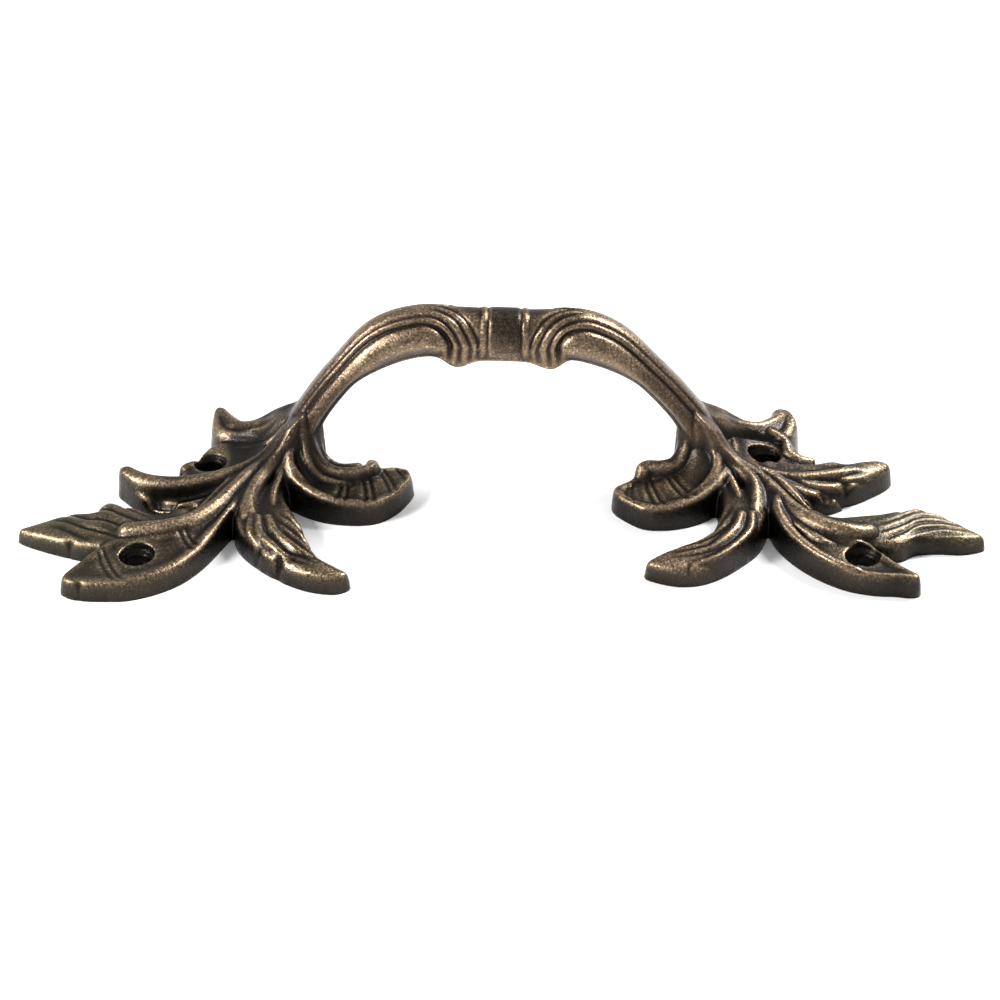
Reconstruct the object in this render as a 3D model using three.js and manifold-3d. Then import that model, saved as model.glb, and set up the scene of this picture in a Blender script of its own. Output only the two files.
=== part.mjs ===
// A cast brass drawer pull: a moulded grip bar that springs in an arch between two feet,
// each foot a spray of leaves and scrolls with a flat back and two countersunk screw holes.
// It is one casting, so it is one solid. Millimetres. X runs along the grip, Z out from the
// mounting face, and the front of the leaves looks to -Y.

import * as THREE from 'three';
import { mergeVertices } from 'three/addons/utils/BufferGeometryUtils.js';
import Module from 'manifold-3d';

const wasm = await Module();
wasm.setup();

// The grip
const neckSpacing = 78;      // between the necks, where the legs of the arch meet the feet
const gripRise = 27.7;       // mounting face to the middle of the grip bar
const gripLean = 0.15;       // the arch leans back this much for each millimetre it rises
const barWidth = 8.8;        // front to back
const barHeight = 8.3;       // crest of the bar to its flat underside, near the middle
const legHeight = 5.3;       // the same across the legs, where the bar is slimmest
const footingHeight = 8.6;   // and where the legs run into the feet
const footingWidth = 11;
const footingTop = 0.55;     // the legs thicken towards the feet below this share of the rise
const shoulderLine = 0.72;   // and the bar swells to its full height above this share
const neckY = 11.6;          // how far the necks stand behind the middle of the part

// The moulding along the grip
const bellyLine = 4.4;       // from the crest round the bar to the edge of the belly
const bellySwell = 0.8;
const swellRun = 2.6;        // the belly rises to that over this distance from its edge
const budInset = 8.7;        // from the middle of the band to the round end of each belly
const budRadius = 6;
const grooveLine = 0.7;      // from the belly's edge to the groove that follows it
const grooveHalf = 0.62;
const grooveDepth = 0.5;
const bandOffset = 1.2;      // the band stands this far right of the middle of the arch
const bandHalf = 2.8;
const bandHeight = 0.3;
const collarHalf = 0.75;
const collarHeight = 0.55;
const cheekDrop = 1.5;       // how far the bar hangs lower under the end of each belly
const cheekSpread = 2.4;

// The feet
const gridStep = 1;          // the leaves are drawn on a grid of this step
const neckHeight = 11;       // where the ribs of the foot leave the leg
const hornHeight = 6.6;
const rootHeight = 6.6;      // leaves and ribs half way down from the neck
const leafHeight = 4.6;
const panelHeight = 3.5;     // rims of the dished panels
const tipHeight = 2.5;
const dishDepth = 0.55;      // floor of a dished panel below its rim
const rimWidth = 1.15;
const fluteDepth = 0.42;
const wallDraft = 0.35;      // how far a side wall leans in from its base to its top
const edgeRound = 0.55;      // the cast edge along the top of a wall

// The screw holes
const screwBore = 4.2;
const screwMouth = 6;
const sinkDepth = 1.6;
const holeSides = 20;

const clamp = THREE.MathUtils.clamp;
const smooth = THREE.MathUtils.smoothstep;
const lerp = THREE.MathUtils.lerp;

// A smooth curve through drawn points, read by its share of the length
function rail(points) {
  const places = points.map(([u, w]) => new THREE.Vector3(u * gridStep, w * gridStep, 0));
  const curve = new THREE.CatmullRomCurve3(places);
  return share => curve.getPointAt(clamp(share, 0, 1));
}

// A value that changes smoothly along a leaf, from evenly spaced readings
function track(values) {
  const places = values.map((value, i) => new THREE.Vector2(i, value));
  const curve = new THREE.SplineCurve(places);
  return share => curve.getPoint(clamp(share, 0, 1)).y;
}

// Closes a row of equal rings into one skin, with a fan over each end
function skin(rings) {
  const count = rings[0].length;
  const points = rings.flat();
  const index = [];
  for (let i = 0; i < rings.length - 1; i++) {
    for (let j = 0; j < count; j++) {
      const a = i * count + j;
      const b = i * count + (j + 1) % count;
      index.push(a, b, a + count, b, b + count, a + count);
    }
  }
  const ends = [rings[0], rings[rings.length - 1]];
  ends.forEach((ring, end) => {
    const middle = new THREE.Vector3();
    ring.forEach(point => middle.addScaledVector(point, 1 / count));
    const hub = points.push(middle) - 1;
    const start = end === 0 ? 0 : (rings.length - 1) * count;
    for (let j = 0; j < count; j++) {
      const a = start + j;
      const b = start + (j + 1) % count;
      index.push(...(end === 0 ? [b, a, hub] : [a, b, hub]));
    }
  });
  const geometry = new THREE.BufferGeometry().setFromPoints(points);
  geometry.setIndex(index);
  return geometry;
}

function signedVolume(positions, triangles) {
  const corner = k => new THREE.Vector3().fromArray(positions, 3 * triangles[k]);
  let volume = 0;
  for (let k = 0; k < triangles.length; k += 3) {
    volume += corner(k).dot(corner(k + 1).cross(corner(k + 2))) / 6;
  }
  return volume;
}

// A closed geometry as a solid, with its faces turned to point out. Edges shorter than the
// weld are drawn together when solids are joined.
const weld = 0.003;
function solid(geometry) {
  const bare = geometry.clone();
  bare.deleteAttribute('normal');
  bare.deleteAttribute('uv');
  const merged = mergeVertices(bare, 1e-5);
  const vertProperties = Float32Array.from(merged.attributes.position.array);
  const triVerts = Uint32Array.from(merged.index.array);
  if (signedVolume(vertProperties, triVerts) < 0) triVerts.reverse();
  return new wasm.Manifold(new wasm.Mesh({ numProp: 3, vertProperties, triVerts, tolerance: weld }));
}

// Where the columns of a leaf's top stand across its width. Flutes take a column for each
// crest and each hollow, and other tops one on each side of both rims and one between. A
// narrow tip keeps them in order by drawing edge and rim in.
function columns({ flutes, dished, width }) {
  const inset = Math.min(wallDraft + edgeRound, width * 0.25) / width;
  if (flutes > 0) {
    return Array.from({ length: 2 * flutes + 1 }, (_, j) => lerp(inset, 1 - inset, j / (2 * flutes)));
  }
  const rim = dished ? Math.min(rimWidth, width * 0.2) / width : 0.2;
  return [inset, inset + rim * 0.4, inset + rim, 0.5, 1 - inset - rim, 1 - inset - rim * 0.4, 1 - inset];
}

// A leaf: a loft between its front and back rails, flat below, with drafted walls and a
// shaped top. Heights are read along the leaf from the neck to the tip. The top may swell
// or hollow across its width (camber), sink inside a rim (dish) and carry flutes.
const buried = -1;
function leaf({ front, back, frontTop, backTop, camber = [0, 0], dish, flutes = 0, steps = 12 }) {
  const frontRail = rail(front);
  const backRail = rail(back);
  const frontHeight = track(frontTop);
  const backHeight = track(backTop);
  const swell = track(camber);
  const sink = track(dish ?? [0, 0]);
  const rings = [];
  for (let i = 0; i <= steps; i++) {
    const share = i / steps;
    const start = frontRail(share);
    const chord = backRail(share).sub(start);
    const width = chord.length();
    const lean = Math.min(wallDraft, width * 0.15) / width;
    const places = columns({ flutes, dished: Boolean(dish), width });
    const at = (t, z) => start.clone().addScaledVector(chord, t).setZ(z);
    const shown = smooth(share, 0.1, 0.45) * (1 - smooth(share, 0.7, 1));
    const hollow = Math.min(fluteDepth, width * 0.09) * shown;
    const top = places.map((t, j) => {
      const level = lerp(frontHeight(share), backHeight(share), t) + swell(share) * 4 * t * (1 - t);
      const inside = j > 1 && j < places.length - 2;
      if (flutes > 0) return level - (j % 2) * hollow;
      return inside ? level - sink(share) : level;
    });
    const last = places.length - 1;
    rings.push([
      at(0, buried),
      at(lean, top[0] - edgeRound),
      ...places.map((t, j) => at(t, top[j])),
      at(1 - lean, top[last] - edgeRound),
      at(1, buried),
    ]);
  }
  return solid(skin(rings));
}

// A rib: a rounded blade that stands on the mounting face and follows one drawn line. Its
// far end is drawn in and dips into the leaf.
const ribSides = 4;
const ribTaper = 0.88;       // the end begins to draw in at this share of the length
function rib({ line, height, width, steps = 12 }) {
  const spine = rail(line);
  const crest = track(height);
  const girth = track(width);
  const rings = [];
  for (let i = 0; i <= steps; i++) {
    const share = i / steps;
    const reach = 0.5 / steps;
    const along = spine(share + reach).sub(spine(share - reach)).normalize();
    const side = new THREE.Vector3(-along.y, along.x, 0);
    const ended = smooth(share, ribTaper, 1);
    const half = (girth(share) / 2) * lerp(1, 0.4, ended);
    const top = crest(share) - girth(share) * 0.5 * ended;
    const at = (offset, z) => spine(share).addScaledVector(side, offset).setZ(z);
    const ring = [at(-half - wallDraft, buried)];
    for (let j = 0; j <= ribSides; j++) {
      const turn = Math.PI * (j / ribSides);
      ring.push(at(-half * Math.cos(turn), top - half * (1 - Math.sin(turn))));
    }
    ring.push(at(half + wallDraft, buried));
    rings.push(ring);
  }
  return solid(skin(rings));
}

// The line of the arch as a share of its half span and of its rise, from the left foot to
// the right. The two sides differ a little, as the pattern was modelled by hand.
const archLine = [
  [-0.95, -0.04], [-0.93, 0.2], [-0.88, 0.39], [-0.785, 0.6], [-0.65, 0.81], [-0.5, 0.955], [-0.33, 1.015],
  [-0.15, 0.995], [0, 0.985], [0.17, 0.98], [0.33, 0.99], [0.48, 0.925], [0.62, 0.795], [0.78, 0.575],
  [0.875, 0.395], [0.93, 0.2], [0.95, -0.04],
];

// How far a place on the bar lies outside the belly's edge. The edge runs along the bar and
// turns round the bud where the belly ends. Places are given along the grip, and round it
// from the crest.
function outsideBelly(along, round) {
  const past = budInset - Math.abs(along - bandOffset) + budRadius;
  const above = bellyLine - round + budRadius;
  const corner = Math.hypot(Math.max(past, 0), Math.max(above, 0));
  return corner + Math.min(Math.max(past, above), 0) - budRadius;
}

// How the moulding stands out from the plain bar
function moulding(along, round) {
  const fromBand = Math.abs(along - bandOffset);
  const belly = bellySwell * smooth(-outsideBelly(along, round), 0, swellRun);
  const collar = collarHeight * (1 - smooth(Math.abs(fromBand - bandHalf - collarHalf), 0, collarHalf));
  const band = bandHeight * (1 - smooth(fromBand, bandHalf, bandHalf + collarHalf));
  return Math.max(belly, collar, band);
}

// The plain bar's half section from the crest round to the middle of the flat underside.
// The rounded crown comes first, then the wall and the underside.
const crownShare = 0.7;      // the crown takes this share of the bar's height
const crownTurns = 24;
function halfSection(width, height, drop) {
  const crown = [];
  for (let j = 0; j <= crownTurns; j++) {
    const turn = (Math.PI / 2) * (j / crownTurns);
    const out = height * (0.5 - crownShare * (1 - Math.cos(turn) ** 0.85));
    crown.push(new THREE.Vector2(out, (width / 2) * Math.sin(turn) ** 0.85));
  }
  const under = -height / 2 - drop;
  const inset = width * 0.42;
  const lower = [[under + edgeRound, inset], [under, inset - edgeRound], [under, 0]];
  return { crown, lower: lower.map(([out, side]) => new THREE.Vector2(out, side)) };
}

// The place at a set distance round a crown from the crest, and the crown's whole girth
function roundCrown(crown, round) {
  let gone = 0;
  let found = crown[crown.length - 1].clone();
  let open = true;
  for (let k = 1; k < crown.length; k++) {
    const step = crown[k].distanceTo(crown[k - 1]);
    if (open && round <= gone + step) {
      found = crown[k - 1].clone().lerp(crown[k], (round - gone) / step);
      open = false;
    }
    gone += step;
  }
  return { place: found, girth: gone };
}

// The bar at a place along the arch: its frame, its section, and how much it is footing
const archPlaces = archLine.map(([x, z]) => new THREE.Vector3(
  x * neckSpacing / 2, neckY + gripLean * z * gripRise, z * gripRise));
const archCurve = new THREE.CatmullRomCurve3(archPlaces);
const archLength = archCurve.getLength();
const fore = new THREE.Vector3(0, -1, gripLean).normalize();
function barAt(along) {
  const share = clamp(along / archLength + 0.5, 0, 1);
  const centre = archCurve.getPointAt(share);
  const out = new THREE.Vector3().crossVectors(fore, archCurve.getTangentAt(share));
  const fromBand = Math.abs(along - bandOffset);
  const footing = 1 - smooth(centre.z, 0, gripRise * footingTop);
  const shoulder = smooth(centre.z, gripRise * shoulderLine, gripRise);
  const height = lerp(lerp(legHeight, barHeight, shoulder), footingHeight, footing);
  const width = lerp(barWidth, footingWidth, footing);
  const drop = cheekDrop * Math.exp(-(((fromBand - budInset + 1) / cheekSpread) ** 2));
  const at = (place, side) => {
    const raised = centre.clone().addScaledVector(out, place.x);
    return raised.addScaledVector(fore, side * place.y);
  };
  return { at, footing, section: halfSection(width, height, drop) };
}

// Stations along the arch, each way from the middle of the band: over the collars, closer
// together round the buds, and wider apart down the legs
const coarseStep = 3;
const fineStep = 1.1;
const fineSpare = 3;
const collarSteps = 4;
function stations() {
  const gone = [0];
  for (let k = 0; k <= collarSteps; k++) gone.push(bandHalf + 2 * collarHalf * (k / collarSteps));
  while (gone.at(-1) < archLength) {
    gone.push(gone.at(-1) + (gone.at(-1) < budInset + fineSpare ? fineStep : coarseStep));
  }
  const end = archLength / 2;
  const left = gone.slice(1).reverse().map(step => bandOffset - step);
  const right = gone.map(step => bandOffset + step);
  return [-end, ...[...left, ...right].filter(along => Math.abs(along) < end - fineStep), end];
}

const crownStops = [0, 0.17, 0.33, 0.48, 0.61, 0.74, 0.87, 1];
function arch() {
  const rings = stations().map(along => {
    const { at, footing, section } = barAt(along);
    const { girth } = roundCrown(section.crown, 0);
    const crown = crownStops.map(stop => {
      const { place } = roundCrown(section.crown, stop * girth);
      const relief = moulding(along, stop * girth) * (1 - footing);
      return place.addScaledVector(place.clone().normalize(), relief);
    });
    const half = [...crown, ...section.lower];
    const front = half.map(place => at(place, 1));
    const rear = half.slice(1, -1).reverse().map(place => at(place, -1));
    return [...front, ...rear];
  });
  return solid(skin(rings));
}

// A groove cut into the bar beside a belly. It comes up the leg, follows the belly's edge and
// turns down round the bud.
const grooveSides = 6;
const grooveStep = 3.2;
const turnSteps = 8;
const turnShare = 0.74;      // of a quarter turn, where the groove ends under the bud
const grooveRun = 26;        // from the bud up to where the groove begins on the leg
function groove(end, side) {
  const reach = budRadius + grooveLine;
  const path = [];
  for (let gone = grooveRun; gone > 0; gone -= grooveStep) {
    path.push([budInset + budRadius + gone, bellyLine - grooveLine]);
  }
  for (let i = 0; i <= turnSteps; i++) {
    const turn = (Math.PI / 2) * turnShare * (i / turnSteps);
    const inward = reach * Math.sin(turn);
    const upward = reach * Math.cos(turn);
    path.push([budInset + budRadius - inward, bellyLine + budRadius - upward]);
  }
  const line = new THREE.CatmullRomCurve3(path.map(([fromBand, round], i) => {
    const along = bandOffset + end * fromBand;
    const { at, section, footing } = barAt(along);
    const { place } = roundCrown(section.crown, round);
    const lift = i === 0 || i === path.length - 1 ? grooveHalf : 0;
    const rise = moulding(along, round) * (1 - footing) + grooveHalf - grooveDepth + lift;
    return at(place.addScaledVector(place.clone().normalize(), rise), side);
  }));
  const steps = path.length + 3;
  const frames = line.computeFrenetFrames(steps);
  const rings = frames.normals.map((normal, i) => Array.from({ length: grooveSides }, (_, j) => {
    const turn = 2 * Math.PI * (j / grooveSides);
    const across = normal.clone().multiplyScalar(Math.cos(turn));
    across.addScaledVector(frames.binormals[i], Math.sin(turn));
    return line.getPointAt(i / steps).addScaledVector(across, grooveHalf);
  }));
  return solid(skin(rings));
}

// A mound that fills the neck between the leg of the arch and the roots of the leaves
const mound = [[0, -1], [8.4, -1], [7.8, 1.8], [6.8, 3.4], [5.4, 4.8], [3.4, 5.9], [0, 6.4]];
function neckMound() {
  const profile = mound.map(([r, z]) => new THREE.Vector2(r * gridStep, z * neckHeight / 11));
  const turned = new THREE.LatheGeometry(profile, 20);
  turned.rotateX(Math.PI / 2);
  turned.translate(-gridStep, -0.5 * gridStep, 0);
  return solid(turned);
}

// The left foot, drawn with u out from the neck and w back from it
const leftFoot = {
  leaves: [
    { // horn, at the back
      front: [[-4.5, 0], [0.5, 1.4], [4.5, 2.8], [8, 3.8], [11.2, 4.6], [12.6, 7], [12.8, 13]],
      back: [[-6, 4], [0.5, 7.2], [4, 8], [7, 9.2], [9, 11.8], [10.6, 14.6], [12, 15]],
      frontTop: [neckHeight, 8, 6.2, 5.3, 5.2, 5.8, 6.2],
      backTop: [neckHeight + 3, neckHeight + 1.6, 9.8, 7.3, hornHeight, hornHeight, 6.3],
      camber: [0, 0.4, 0.6, 0.8, 0.6, 0.3],
    },
    { // web round the inner screw hole
      front: [[0, -8], [6, -9], [12, -9.5], [17, -8.5]],
      back: [[0, 3], [7, 5.5], [12, 4.4], [15, -0.4], [17.4, -4]],
      frontTop: [rootHeight, 5.2, 4.8, 4.4],
      backTop: [rootHeight + 1, 5.4, 4.8, 4.4],
    },
    { // curled leaf
      front: [[3, -10], [10, -13], [17, -13.6], [21.3, -12.2], [23.8, -10.7], [26, -8.2], [27.9, -5.2]],
      back: [[4, -3], [11, -5.4], [16.5, -6.4], [20.3, -7], [23.3, -6.5], [26, -4.7], [27.5, -4.3]],
      frontTop: [rootHeight, 5.4, 4.6, 4, 3.7, 3.6, 3.6],
      backTop: [7, 6.4, 6.2, 6.3, 6.2, 5.8, 5.2],
      camber: [0, -0.4, -1.1, -1.5, -1.1, -0.4, 0],
    },
    { // long acanthus leaf
      front: [[10, -20], [20, -26], [26, -27], [31.8, -26], [36.1, -24.3], [40.7, -22.1], [43.2, -20]],
      back: [[12, -13], [20, -17], [25, -14], [28, -12.9], [30.4, -15.4], [35, -16],
        [39, -17.6], [42.6, -19.3]],
      frontTop: [5, 4.4, 3.8, 3.2, 2.8, tipHeight, 1.9],
      backTop: [5.4, 3.8, 3.4, 3.2, 3.2, 2.9, tipHeight, 1.9],
      camber: [0.4, 0.8, 0.8, 0.8, 0.6, 0.3, 0],
      flutes: 3,
    },
    { // dished crescent with the outer screw hole
      front: [[0, -9], [5.5, -16], [8.2, -22.5], [11, -28.6], [14.2, -33], [18.4, -36.1], [23, -37.8],
        [27.5, -37.9], [31.4, -37.2], [33.6, -35.8]],
      back: [[3, -5], [6.8, -12], [11, -18], [16.6, -22.6], [22, -24], [26.2, -24.6], [29, -27],
        [30.6, -30.5], [31.9, -33.6], [33.4, -35]],
      frontTop: [6, 5.6, 5, 4.4, 3.8, panelHeight, panelHeight, 3.3, 3.1, 2.9],
      backTop: [7, 6.4, 6, 5.6, 5.2, 4.9, 4.4, 3.8, 3.2, 2.9],
      dish: [0, 0.3, 0.8, 1, 1, 1, 1, 0.8, 0.3].map(share => share * dishDepth),
      steps: 17,
    },
    { // short acanthus leaf, to the front
      front: [[5.5, -9], [6.6, -17], [5.4, -23], [2.6, -27.4], [-2.4, -32.2], [-7.3, -35.1], [-11.5, -35.8],
        [-13.7, -34.9]],
      back: [[-3, -6], [-2.5, -13], [-4, -17], [-5.6, -20.5], [-7.2, -25], [-9, -29], [-12, -32],
        [-13.9, -33.9]],
      frontTop: [5, 4.9, leafHeight, 4.1, 3.4, 3, 2.7, tipHeight],
      backTop: [5, 4.9, leafHeight, 4.2, 3.6, 3.2, 2.8, tipHeight],
      camber: [0.4, 0.6, 0.8, 0.9, 0.9, 0.7, 0.4, 0.1],
      flutes: 3,
      steps: 14,
    },
    { // scrolled crescent, inward
      front: [[1, -3], [-0.7, -8], [-3.9, -11.4], [-8.4, -14.2], [-13.3, -15.2], [-17.6, -14.7],
        [-20.8, -12], [-22.6, -9], [-23.9, -5.4], [-23.4, -3.2]],
      back: [[-6, 3], [-6.6, -1], [-8.4, -3.2], [-11.1, -4.1], [-13.5, -3.4], [-15.5, -2.2], [-18, -2.3],
        [-20.3, -1.8], [-22.6, -2.4]],
      frontTop: [6.6, 6.8, rootHeight, 5.6, 4.8, 4.2, 3.9, 3.9, 3.9, 3.9],
      backTop: [neckHeight, 8, 6.4, 5.6, 5.2, 4.8, 4.4, 4.2, 3.9],
      dish: [0, 0.4, 1, 1, 1, 1, 1, 1, 0.6].map(share => share * dishDepth),
      steps: 18,
    },
  ],
  ribs: [
    { // crest of the horn
      line: [[-5.2, 2], [0, 4.2], [4, 5.9], [7.6, 7.6], [10, 10.8], [11.2, 13.8]],
      height: [neckHeight + 3, 10, 8, 7.1, 7, 6.7],
      width: [3, 3, 2.8, 2.6, 2.4, 1.8],
    },
    { // curled leaf
      line: [[-4.8, 1.4], [0.4, -3], [6, -6.4], [12, -8.2], [18, -8.4], [22.8, -7.8], [26.4, -5.6]],
      height: [neckHeight + 1, 9, 7.4, 6.5, 6.4, 6.2, 5.3],
      width: [1.4, 2.2, 2.2, 2, 2.2, 2.2, 1.4],
    },
    { // long stem between the acanthus and the crescent
      line: [[-5.4, 1.2], [-1, -3.2], [3.6, -7.4], [6.6, -12], [9.7, -17], [13.1, -20.8],
        [16.8, -22.9], [21.2, -24.2], [25, -26.3]],
      height: [neckHeight + 2, 9.8, 7.9, 7.2, 6.6, 6.2, 6, 5.7, 5],
      width: [1.6, 2.6, 2.9, 2.9, 2.9, 3, 3.1, 3.1, 2.2],
      steps: 14,
    },
    { // front stem
      line: [[-5.6, 0.4], [-2.4, -3.4], [0.6, -6.6], [3, -11], [3.9, -16.3], [2.6, -22]],
      height: [neckHeight + 2, 9.8, 7.9, 7, 6.3, 5.4],
      width: [1.6, 2.6, 2.8, 3, 3.1, 2],
    },
    { // scroll
      line: [[-6, 0], [-7.2, -3], [-9, -5.1], [-11.3, -5.9], [-13.7, -5.3], [-15.4, -3.9], [-16.6, -4.8]],
      height: [neckHeight + 1, 8.4, 7, 6.5, 6.2, 6, 5.6],
      width: [3, 2.4, 2.2, 2.1, 2, 2.1, 1.9],
    },
    { // bud beside the inner screw hole
      line: [[12.6, -0.6], [15.2, -1.9]],
      height: [4.9, 5.3],
      width: [1.8, 2.2],
      steps: 3,
    },
    { // loop at the head of the scrolled panel
      line: [[-6.2, -2.6], [-4, -3.2], [-2.6, -5], [-2.8, -7.4], [-4.8, -9.8]],
      height: [8.4, 8.4, 8, 7.2, 6],
      width: [1.6, 1.7, 1.8, 1.8, 1.6],
    },
  ],
  holes: [[11.8, -2.3], [21.6, -29.4]],
};

// The right foot, a near mirror of the left with a fuller inner leaf
const rightFoot = {
  leaves: [
    { // horn, at the back
      front: [[-4.5, 0], [0.5, 1.4], [5, 3.6], [9, 4], [12.6, 4], [14.2, 8], [14, 12]],
      back: [[-6, 4], [1, 7.2], [4.5, 7.9], [6.9, 8.8], [8.8, 10.9], [10.2, 13.9], [12.4, 14.8]],
      frontTop: [neckHeight, 8, 6.3, 5.6, 5.6, 6, 6.3],
      backTop: [neckHeight + 3, neckHeight + 1.6, 9.8, 7.3, hornHeight, hornHeight, 6.3],
      camber: [0, 0.3, 0.3, 0.2, 0.1, 0],
    },
    { // web round the inner screw hole
      front: [[0, -8], [6, -9], [12, -8.5], [16.4, -4]],
      back: [[0, 3], [7, 6], [12.6, 5], [15, 0.8], [16.4, -1.4]],
      frontTop: [rootHeight, 5.4, 4.8, 4.2],
      backTop: [rootHeight + 1, 5.8, 5.2, 4.2],
    },
    { // blunt acanthus leaf
      front: [[3, -9], [9, -12], [13.4, -13.4], [17.4, -12.4], [21, -10.2], [24.6, -7.3], [27.6, -4.6],
        [29.6, -2.4]],
      back: [[5, -2], [10, -2.6], [15.8, -2.6], [19.4, -1.6], [21.4, -2.4], [25, -1.2], [28, -0.4],
        [29.6, -1.4]],
      frontTop: [rootHeight, 5.2, 4.4, 4, 3.8, 3.6, 3.4, 3.2],
      backTop: [7, 5.6, 5.2, 4.9, 4.7, 4.4, 3.8, 3.2],
      camber: [0, 0.3, 0.6, 0.8, 0.8, 0.7, 0.3],
      flutes: 3,
    },
    { // long acanthus leaf
      front: [[9, -19], [18, -25], [25, -26.6], [28.6, -26.3], [31, -24.6], [35, -24.1], [39.3, -24.3],
        [43.4, -22.8]],
      back: [[12, -13], [17.8, -17.4], [22.4, -17.2], [26.6, -16.3], [29.4, -15.4], [32.7, -14.8],
        [35.9, -16.3], [38.7, -18.6], [43, -22]],
      frontTop: [rootHeight, 4.6, 3.8, 3.4, 3.2, 2.8, tipHeight, 2],
      backTop: [5.4, 3.8, 3.4, 3.4, 3.3, 3.2, 3, tipHeight, 2],
      camber: [0.4, 0.6, 0.8, 0.8, 0.6, 0.3, 0],
      flutes: 3,
    },
    { // dished crescent with the outer screw hole
      front: [[0, -9], [6, -16], [8.2, -23], [10.6, -27.4], [14.5, -31.9], [18.7, -34.9], [22.9, -36.2],
        [26.5, -36.5], [28.4, -36.7], [29.6, -36.4]],
      back: [[3, -5], [7.4, -12], [11.2, -17.6], [15.4, -21.6], [19.6, -23.8], [24, -24.6], [25.4, -28],
        [26.6, -31], [28.4, -33.4], [29.8, -35]],
      frontTop: [6, 5.6, 5.2, 4.6, 4, 3.7, panelHeight, panelHeight, 3.5, 3.4],
      backTop: [7, 6.4, 6, 5.6, 5.2, 4.9, 4.4, 3.8, 3.4, 3.4],
      dish: [0, 0.3, 0.8, 1, 1, 1, 1, 0.6, 0].map(share => share * dishDepth),
      steps: 17,
    },
    { // short acanthus leaf, to the front
      front: [[6, -9], [7, -16.5], [4.8, -23.8], [1.5, -27.9], [-1.9, -31.1], [-5.7, -33.3], [-9.6, -33.4],
        [-14.4, -31.2]],
      back: [[-3, -6], [-1.4, -13], [-1.8, -17.8], [-3.4, -22], [-6, -24.6], [-9.4, -26.2], [-12.4, -28.2],
        [-14.9, -30.4]],
      frontTop: [5, 4.9, leafHeight, 4.1, 3.6, 3.1, 2.8, tipHeight],
      backTop: [5, 4.9, leafHeight, 4.2, 3.6, 3.2, 2.8, tipHeight],
      camber: [0.4, 0.6, 0.8, 0.9, 0.9, 0.7, 0.4, 0.1],
      flutes: 3,
      steps: 14,
    },
    { // scrolled crescent, inward
      front: [[2, -3], [0.8, -9], [-2, -12.6], [-5.9, -15.4], [-10.2, -16.7], [-14.2, -16.4], [-17.2, -14],
        [-19, -11.4], [-19.6, -9.4]],
      back: [[-6, 3], [-7, -1], [-8.4, -3.4], [-11.2, -3.9], [-13.2, -3], [-15, -4.6], [-16.6, -6.4],
        [-18, -7.6], [-19, -8.4]],
      frontTop: [6.6, 6.8, rootHeight, 5.6, 4.8, 4.2, 3.9, 3.9, 3.8],
      backTop: [neckHeight, 8, 6.6, 5.8, 5.4, 5, 4.4, 4, 3.8],
      dish: [0, 0.4, 1, 1, 1, 1, 1, 0.8, 0.4].map(share => share * dishDepth),
      steps: 18,
    },
  ],
  ribs: [
    { // crest of the horn, curling round the screw hole
      line: [[-5.2, 2], [0, 4.2], [4, 6], [7.4, 7.2], [10, 9.4], [11.8, 12.6]],
      height: [neckHeight + 3, 10, 8, 7.1, 7, 6.7],
      width: [3, 3, 2.8, 2.6, 2.6, 2.2],
    },
    { // blunt acanthus leaf
      line: [[-4.8, 1.4], [0.4, -3.2], [6, -6.2], [12, -7.6], [17, -7.2], [21.4, -6], [26, -3.6]],
      height: [neckHeight + 1, 8.6, 6.8, 5.8, 5.5, 5.2, 4.2],
      width: [1.4, 2.2, 2, 1.9, 1.9, 1.8, 1.2],
    },
    { // long stem between the acanthus and the crescent
      line: [[-5.4, 1.2], [-0.4, -3.4], [4.8, -7.8], [8.2, -12.6], [10.6, -17], [13.6, -20.6],
        [17.2, -23.6], [21, -24.9], [24.2, -24]],
      height: [neckHeight + 2, 9.8, 7.9, 7.1, 6.6, 6.3, 6.2, 6, 5.2],
      width: [1.6, 2.4, 2.4, 2.4, 2.6, 2.8, 3, 3, 2.4],
      steps: 14,
    },
    { // front stem
      line: [[-5.6, 0.4], [-2, -3.4], [2, -6.4], [4.6, -10.4], [4.8, -15], [3.6, -21]],
      height: [neckHeight + 2, 9.8, 7.9, 7, 6.2, 5.2],
      width: [1.6, 2.6, 2.8, 3, 3, 2],
    },
    { // scroll
      line: [[-6, 0], [-7.2, -3], [-8.9, -5.1], [-11.2, -5.4], [-13.2, -4.7], [-14.8, -6.1]],
      height: [neckHeight + 1, 8.4, 7, 6.5, 6.4, 6],
      width: [3, 2.6, 2.5, 2.5, 2.6, 2.2],
    },
    { // loop at the head of the scrolled panel
      line: [[-6.2, -2.6], [-3.2, -3.2], [-1.4, -5.2], [-1.5, -8], [-3.6, -10.8]],
      height: [8.4, 8.4, 8, 7.2, 6],
      width: [1.6, 1.7, 1.8, 1.8, 1.6],
    },
  ],
  holes: [[7.7, 0.2], [21.5, -29.3]],
};

// A foot drawn outward from its neck, set at the end of the arch it belongs to
function foot(drawing, side) {
  const place = new THREE.Matrix4()
    .makeTranslation(side * neckSpacing / 2, neckY, 0)
    .multiply(new THREE.Matrix4().makeScale(side, 1, 1));
  const pieces = [neckMound(), ...drawing.leaves.map(leaf), ...drawing.ribs.map(rib)];
  return joined(pieces).transform(place.elements);
}

function joined(pieces) {
  return pieces.reduce((whole, piece) => whole.add(piece));
}

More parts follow.
